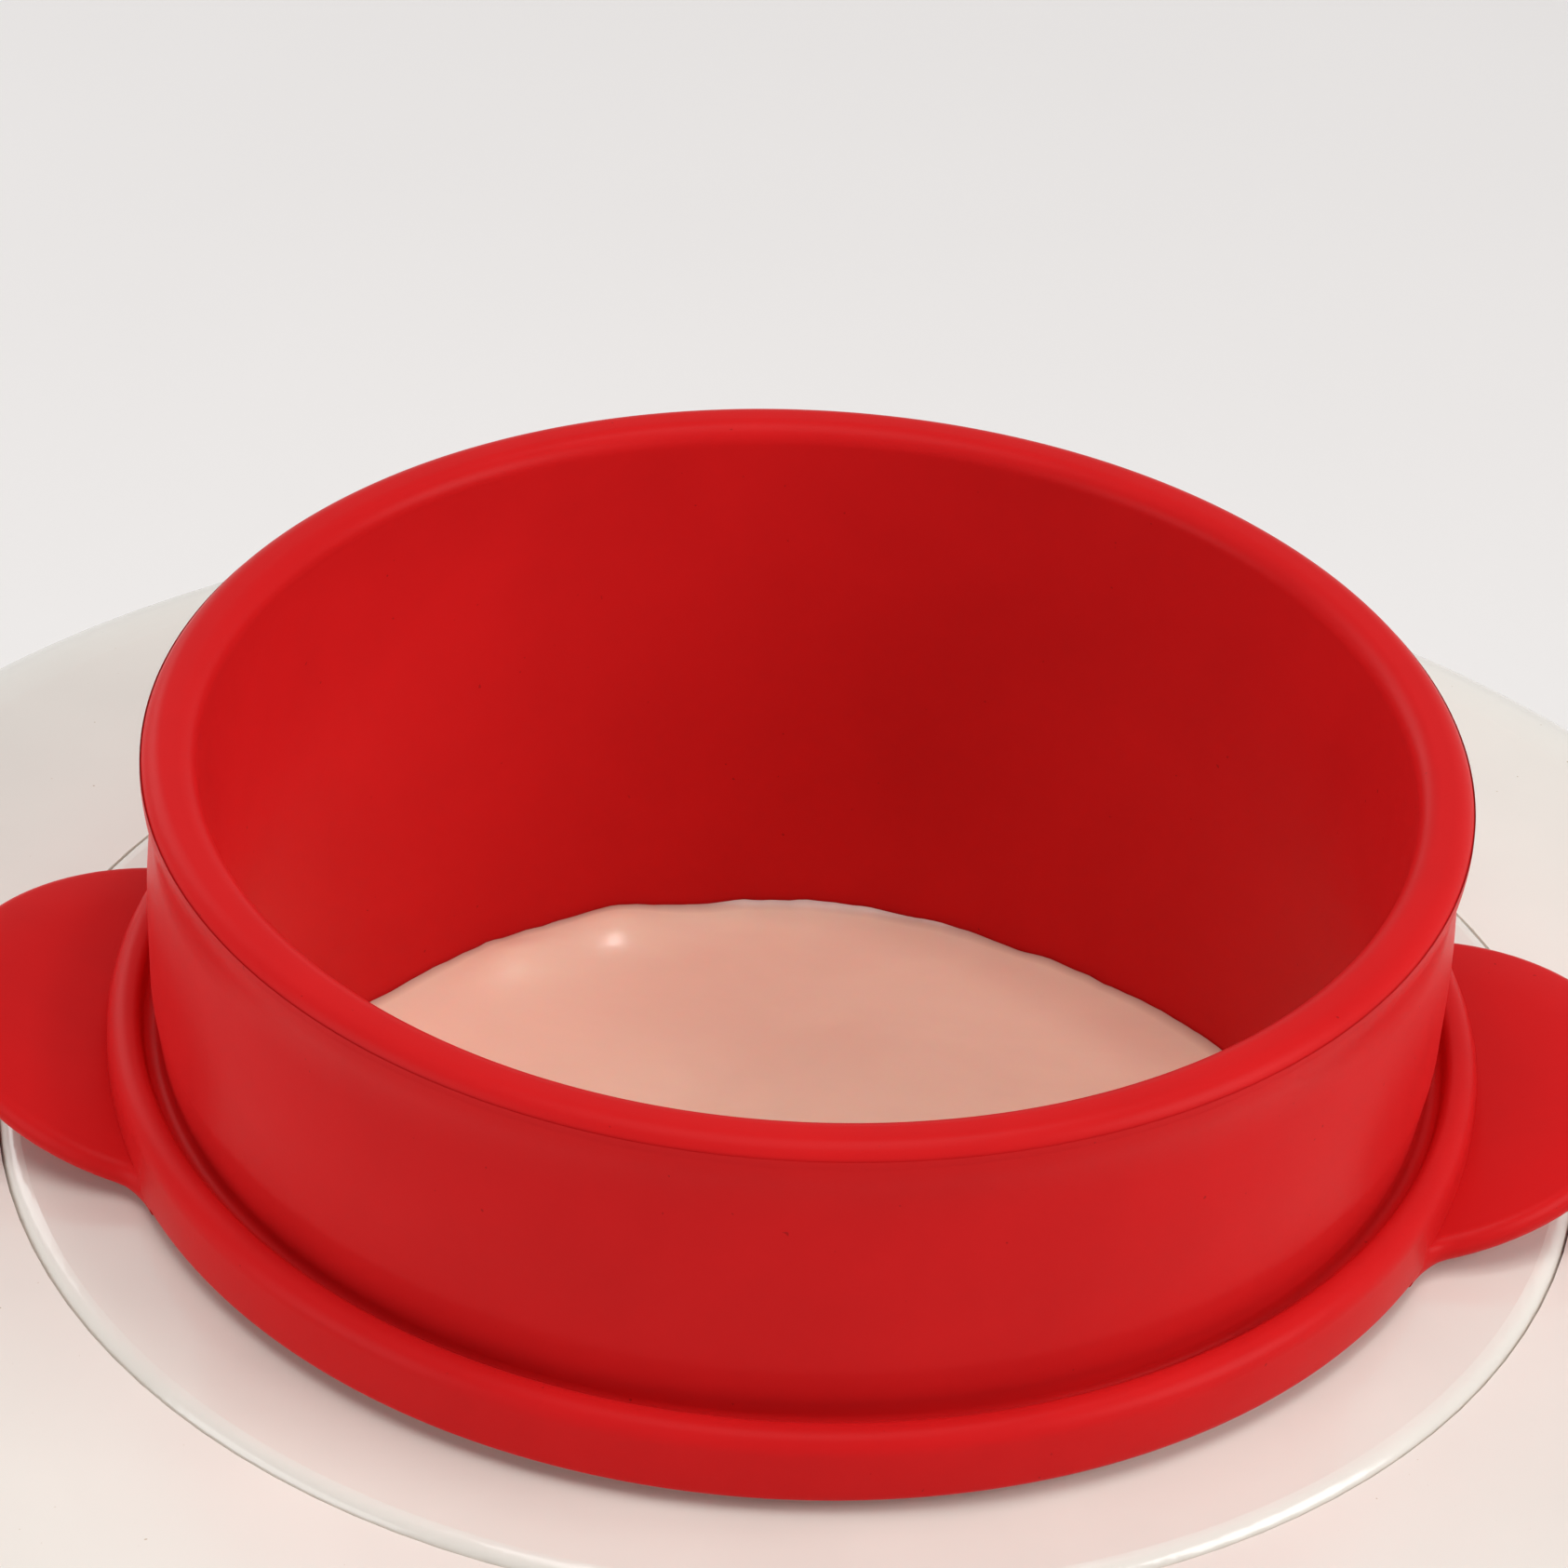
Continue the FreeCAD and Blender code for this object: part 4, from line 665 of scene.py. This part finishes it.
def tint_outside(material, radius, depth, colour):
    """Change a material's colour little by little beyond a radius, in the object's own space."""
    tree = material.node_tree
    shader = tree.nodes["Principled BSDF"]
    base = shader.inputs["Base Color"].links[0].from_socket
    place = tree.nodes.new("ShaderNodeTexCoord")
    level = tree.nodes.new("ShaderNodeVectorMath")
    level.operation = "MULTIPLY"
    level.inputs[1].default_value = (1, 1, 0)
    reach = tree.nodes.new("ShaderNodeVectorMath")
    reach.operation = "LENGTH"
    tree.links.new(place.outputs["Object"], level.inputs[0])
    tree.links.new(level.outputs["Vector"], reach.inputs[0])
    share = add(tree, "ShaderNodeMapRange", From_Min=radius, From_Max=radius + depth)
    tree.links.new(reach.outputs["Value"], share.inputs["Value"])
    tree.links.new(mixed(tree, share.outputs["Result"], base, colour), shader.inputs["Base Color"])


FINISHES = {
    "red_silicone": dict(
        colour=(0.635, 0.0125, 0.0135), shift=0.04, blotch=14, rough=(0.31, 0.40), grain=0.35, depth=0.006,
        specks=(0.7, 0.79, (0.42, 0.009, 0.009)), Specular_IOR_Level=0.05, Subsurface_Weight=0.06,
        Subsurface_Scale=1.5 * MM, Subsurface_Radius=(1.0, 0.2, 0.1)),
    "pink_wax": dict(
        colour=(0.97, 0.71, 0.54), shift=0.05, blotch=16, rough=(0.16, 0.26), grain=3.0, depth=0.02,
        stretch=(1, 1.6, 1), Subsurface_Weight=0.35, Subsurface_Scale=3 * MM,
        Subsurface_Radius=(1.0, 0.5, 0.35)),
    "white_plastic": dict(
        colour=(0.82, 0.77, 0.70), shift=0.02, blotch=12, rough=(0.14, 0.22), grain=1.2, depth=0.003,
        Coat_Weight=0.2),
    "cream_plastic": dict(
        colour=(0.87, 0.83, 0.76), shift=0.02, blotch=18, rough=(0.17, 0.26), grain=1.0, depth=0.003,
        specks=(0.6, 0.79, (0.62, 0.52, 0.40))),
    "grey_plastic": dict(
        colour=(0.42, 0.41, 0.39), shift=0.05, blotch=7, rough=(0.45, 0.6), grain=0.35, depth=0.03),
    "pale_grey_plastic": dict(
        colour=(0.70, 0.69, 0.66), shift=0.03, blotch=8, rough=(0.35, 0.45), grain=0.3, depth=0.015),
    "red_plastic": dict(
        colour=(0.60, 0.03, 0.025), shift=0.04, blotch=4, rough=(0.18, 0.26), grain=0.5, depth=0.005),
    "black_plastic": dict(
        colour=(0.02, 0.02, 0.02), shift=0.15, blotch=4, rough=(0.38, 0.5), grain=0.25, depth=0.015),
    "rocker_plastic": dict(
        colour=(0.03, 0.03, 0.03), shift=0.1, blotch=4, rough=(0.18, 0.26), grain=0.4, depth=0.006),
    "lamp_red": dict(
        colour=(0.75, 0.05, 0.03), shift=0.05, blotch=2, rough=(0.05, 0.1), grain=0.8, depth=0.01,
        Transmission_Weight=0.6, IOR=1.49),
    "ceramic_white": dict(
        colour=(0.78, 0.76, 0.70), shift=0.04, blotch=5, rough=(0.55, 0.7), grain=0.3, depth=0.02,
        specks=(0.7, 0.74, (0.5, 0.46, 0.40))),
    "aluminium": dict(
        colour=(0.80, 0.80, 0.80), shift=0.04, blotch=3, rough=(0.29, 0.42), grain=0.4, depth=0.01,
        stretch=(0.1, 0.1, 4), Metallic=1.0),
    "heater_steel": dict(
        colour=(0.60, 0.58, 0.55), shift=0.08, blotch=5, rough=(0.3, 0.45), grain=0.3, depth=0.01,
        stretch=(0.2, 0.2, 3), Metallic=1.0),
    "zinc_steel": dict(
        colour=(0.66, 0.66, 0.66), shift=0.08, blotch=2, rough=(0.29, 0.42), grain=0.3, depth=0.006,
        Metallic=1.0),
    "brass": dict(
        colour=(0.72, 0.53, 0.25), shift=0.08, blotch=2, rough=(0.29, 0.40), grain=0.3, depth=0.006,
        Metallic=1.0),
    "copper": dict(
        colour=(0.72, 0.40, 0.26), shift=0.1, blotch=3, rough=(0.29, 0.42), grain=0.3, depth=0.006,
        Metallic=1.0),
    "felt": dict(
        colour=(0.78, 0.75, 0.68), shift=0.1, blotch=2, rough=(0.8, 0.95), grain=0.25, depth=0.15,
        Sheen_Weight=0.3),
    "grey_silicone": dict(
        colour=(0.35, 0.35, 0.34), shift=0.06, blotch=4, rough=(0.45, 0.6), grain=0.3, depth=0.01),
    "dark_rubber": dict(
        colour=(0.05, 0.05, 0.05), shift=0.15, blotch=3, rough=(0.6, 0.75), grain=0.3, depth=0.03),
    "lead_silicone": dict(
        colour=(0.70, 0.68, 0.62), shift=0.05, blotch=4, rough=(0.4, 0.55), grain=0.3, depth=0.008),
    "dark_print": dict(
        colour=(0.09, 0.09, 0.10), shift=0.1, blotch=2, rough=(0.45, 0.6), grain=0.3, depth=0.005),
    "white_print": dict(
        colour=(0.80, 0.80, 0.78), shift=0.04, blotch=1, rough=(0.4, 0.55), grain=0.3, depth=0.005),
    "floor": dict(
        colour=(0.93, 0.90, 0.88), shift=0.01, blotch=120, rough=(0.55, 0.7), grain=2.0, depth=0.01),
}
MATERIALS = {name: finish(name, **values) for name, values in FINISHES.items()}
# Painted shade: the wax darkens to a brown tint in a band next to the pot's wall, partly for the thin film over
# the red wall, partly as shade painted where the wax meets the wall
tint_outside(MATERIALS["pink_wax"], pot_inside(WAX_Z) - WAX_GAP - FILM_AND_SHADE_BAND, FILM_AND_SHADE_BAND, FILM_AND_SHADE_TINT)


def seen_directly(tree):
    """One for rays from the camera, reflections and views through glass; nought for light on the object."""
    path = tree.nodes.new("ShaderNodeLightPath")
    total = path.outputs["Is Camera Ray"]
    for name in ("Is Glossy Ray", "Is Transmission Ray"):
        step = tree.nodes.new("ShaderNodeMath")
        step.operation = "MAXIMUM"
        tree.links.new(total, step.inputs[0])
        tree.links.new(path.outputs[name], step.inputs[1])
        total = step.outputs["Value"]
    return total


def fade_far(material):
    """Let the floor run out into the backdrop's colour, away from the object."""
    tree = material.node_tree
    place = tree.nodes.new("ShaderNodeTexCoord")
    far = tree.nodes.new("ShaderNodeVectorMath")
    far.operation = "LENGTH"
    tree.links.new(place.outputs["Object"], far.inputs[0])
    share = add(tree, "ShaderNodeMapRange", From_Min=FADE_START, From_Max=FADE_END)
    share.interpolation_type = "SMOOTHSTEP"
    tree.links.new(far.outputs["Value"], share.inputs["Value"])
    both = tree.nodes.new("ShaderNodeMath")
    both.operation = "MULTIPLY"
    tree.links.new(share.outputs["Result"], both.inputs[0])
    tree.links.new(seen_directly(tree), both.inputs[1])
    glow = add(tree, "ShaderNodeEmission", Color=BACKDROP, Strength=1.0)
    blend = tree.nodes.new("ShaderNodeMixShader")
    tree.links.new(both.outputs["Value"], blend.inputs["Fac"])
    tree.links.new(tree.nodes["Principled BSDF"].outputs["BSDF"], blend.inputs[1])
    tree.links.new(glow.outputs["Emission"], blend.inputs[2])
    tree.links.new(blend.outputs["Shader"], tree.nodes["Material Output"].inputs["Surface"])


def paint(obj, material):
    """Give an object one material."""
    obj.data.materials.clear()
    obj.data.materials.append(material)


# Light and camera


def hang_lamps():
    """Soft lamps round the object, turned towards it."""
    for name, place, width, power in LAMPS:
        lamp = bpy.data.lights.new(name, "AREA")
        lamp.size = width
        lamp.energy = power
        holder = bpy.data.objects.new(name, lamp)
        holder.location = place
        holder.rotation_euler = (LAMP_AIM - Vector(place)).to_track_quat("-Z", "Y").to_euler()
        bpy.context.scene.collection.objects.link(holder)


def set_world():
    """A dim sky for light, and the backdrop where it is looked at."""
    world = bpy.data.worlds.new("studio")
    world.use_nodes = True
    tree = world.node_tree
    sky = tree.nodes["Background"]
    sky.inputs["Color"].default_value = SKY_COLOUR
    sky.inputs["Strength"].default_value = SKY_STRENGTH
    backdrop = add(tree, "ShaderNodeBackground", Color=BACKDROP, Strength=1.0)
    blend = tree.nodes.new("ShaderNodeMixShader")
    tree.links.new(seen_directly(tree), blend.inputs["Fac"])
    tree.links.new(sky.outputs["Background"], blend.inputs[1])
    tree.links.new(backdrop.outputs["Background"], blend.inputs[2])
    tree.links.new(blend.outputs["Shader"], tree.nodes["World Output"].inputs["Surface"])
    bpy.context.scene.world = world


def set_camera():
    """The camera in front of the rim and above it, rolled a little."""
    right = Vector((1, 0, 0))
    up = Vector((0, math.sin(CAMERA_ELEVATION), math.cos(CAMERA_ELEVATION)))
    back = right.cross(up)
    side = right * math.cos(CAMERA_ROLL) + up * math.sin(CAMERA_ROLL)
    top = up * math.cos(CAMERA_ROLL) - right * math.sin(CAMERA_ROLL)
    eye = Vector((0, 0, RIM_Z)) + back * CAMERA_DISTANCE + side * CAMERA_RIGHT + top * CAMERA_UP
    lens = bpy.data.cameras.new("camera")
    lens.sensor_width = SENSOR
    lens.lens = FOCAL_PIXELS * SENSOR / FRAME_PIXELS
    lens.clip_start = CLIP_START
    camera = bpy.data.objects.new("camera", lens)
    camera.matrix_world = Matrix.Translation(eye) @ Matrix((side, top, back)).transposed().to_4x4()
    bpy.context.scene.collection.objects.link(camera)
    bpy.context.scene.camera = camera


# The part and its surroundings
for part in frame["record"]["subparts"]:
    node = frame["nodes"][part["node"]]
    for place in node.material_slots:
        place.link = "OBJECT"
        place.material = MATERIALS[part["material_slot"]]

pot_piece = silicone_pot()
wax_piece = wax()
dial_piece = dial_marks()
rocker_piece = rocker_marks()
for piece, body, slot, material in (
    (pot_piece, "pot", "red_silicone", MATERIALS["red_silicone"]),
    (wax_piece, "pot", "pink_wax", MATERIALS["pink_wax"]),
    (dial_piece, "warmer", "black_plastic", MATERIALS["dark_print"]),
    (rocker_piece, "rocker", "white_plastic", MATERIALS["white_print"]),
):
    paint(piece, material)
    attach(piece, body)
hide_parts("silicone_pot")
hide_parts("wax_fill")

fade_far(MATERIALS["floor"])
floor_mesh = bmesh.new()
bmesh.ops.create_grid(floor_mesh, x_segments=FLOOR_CELLS, y_segments=FLOOR_CELLS, size=FLOOR_HALF)
floor = new_object("floor", floor_mesh)
paint(floor, MATERIALS["floor"])
hang_lamps()
set_world()
set_camera()
bpy.context.scene.view_settings.view_transform = "Standard"
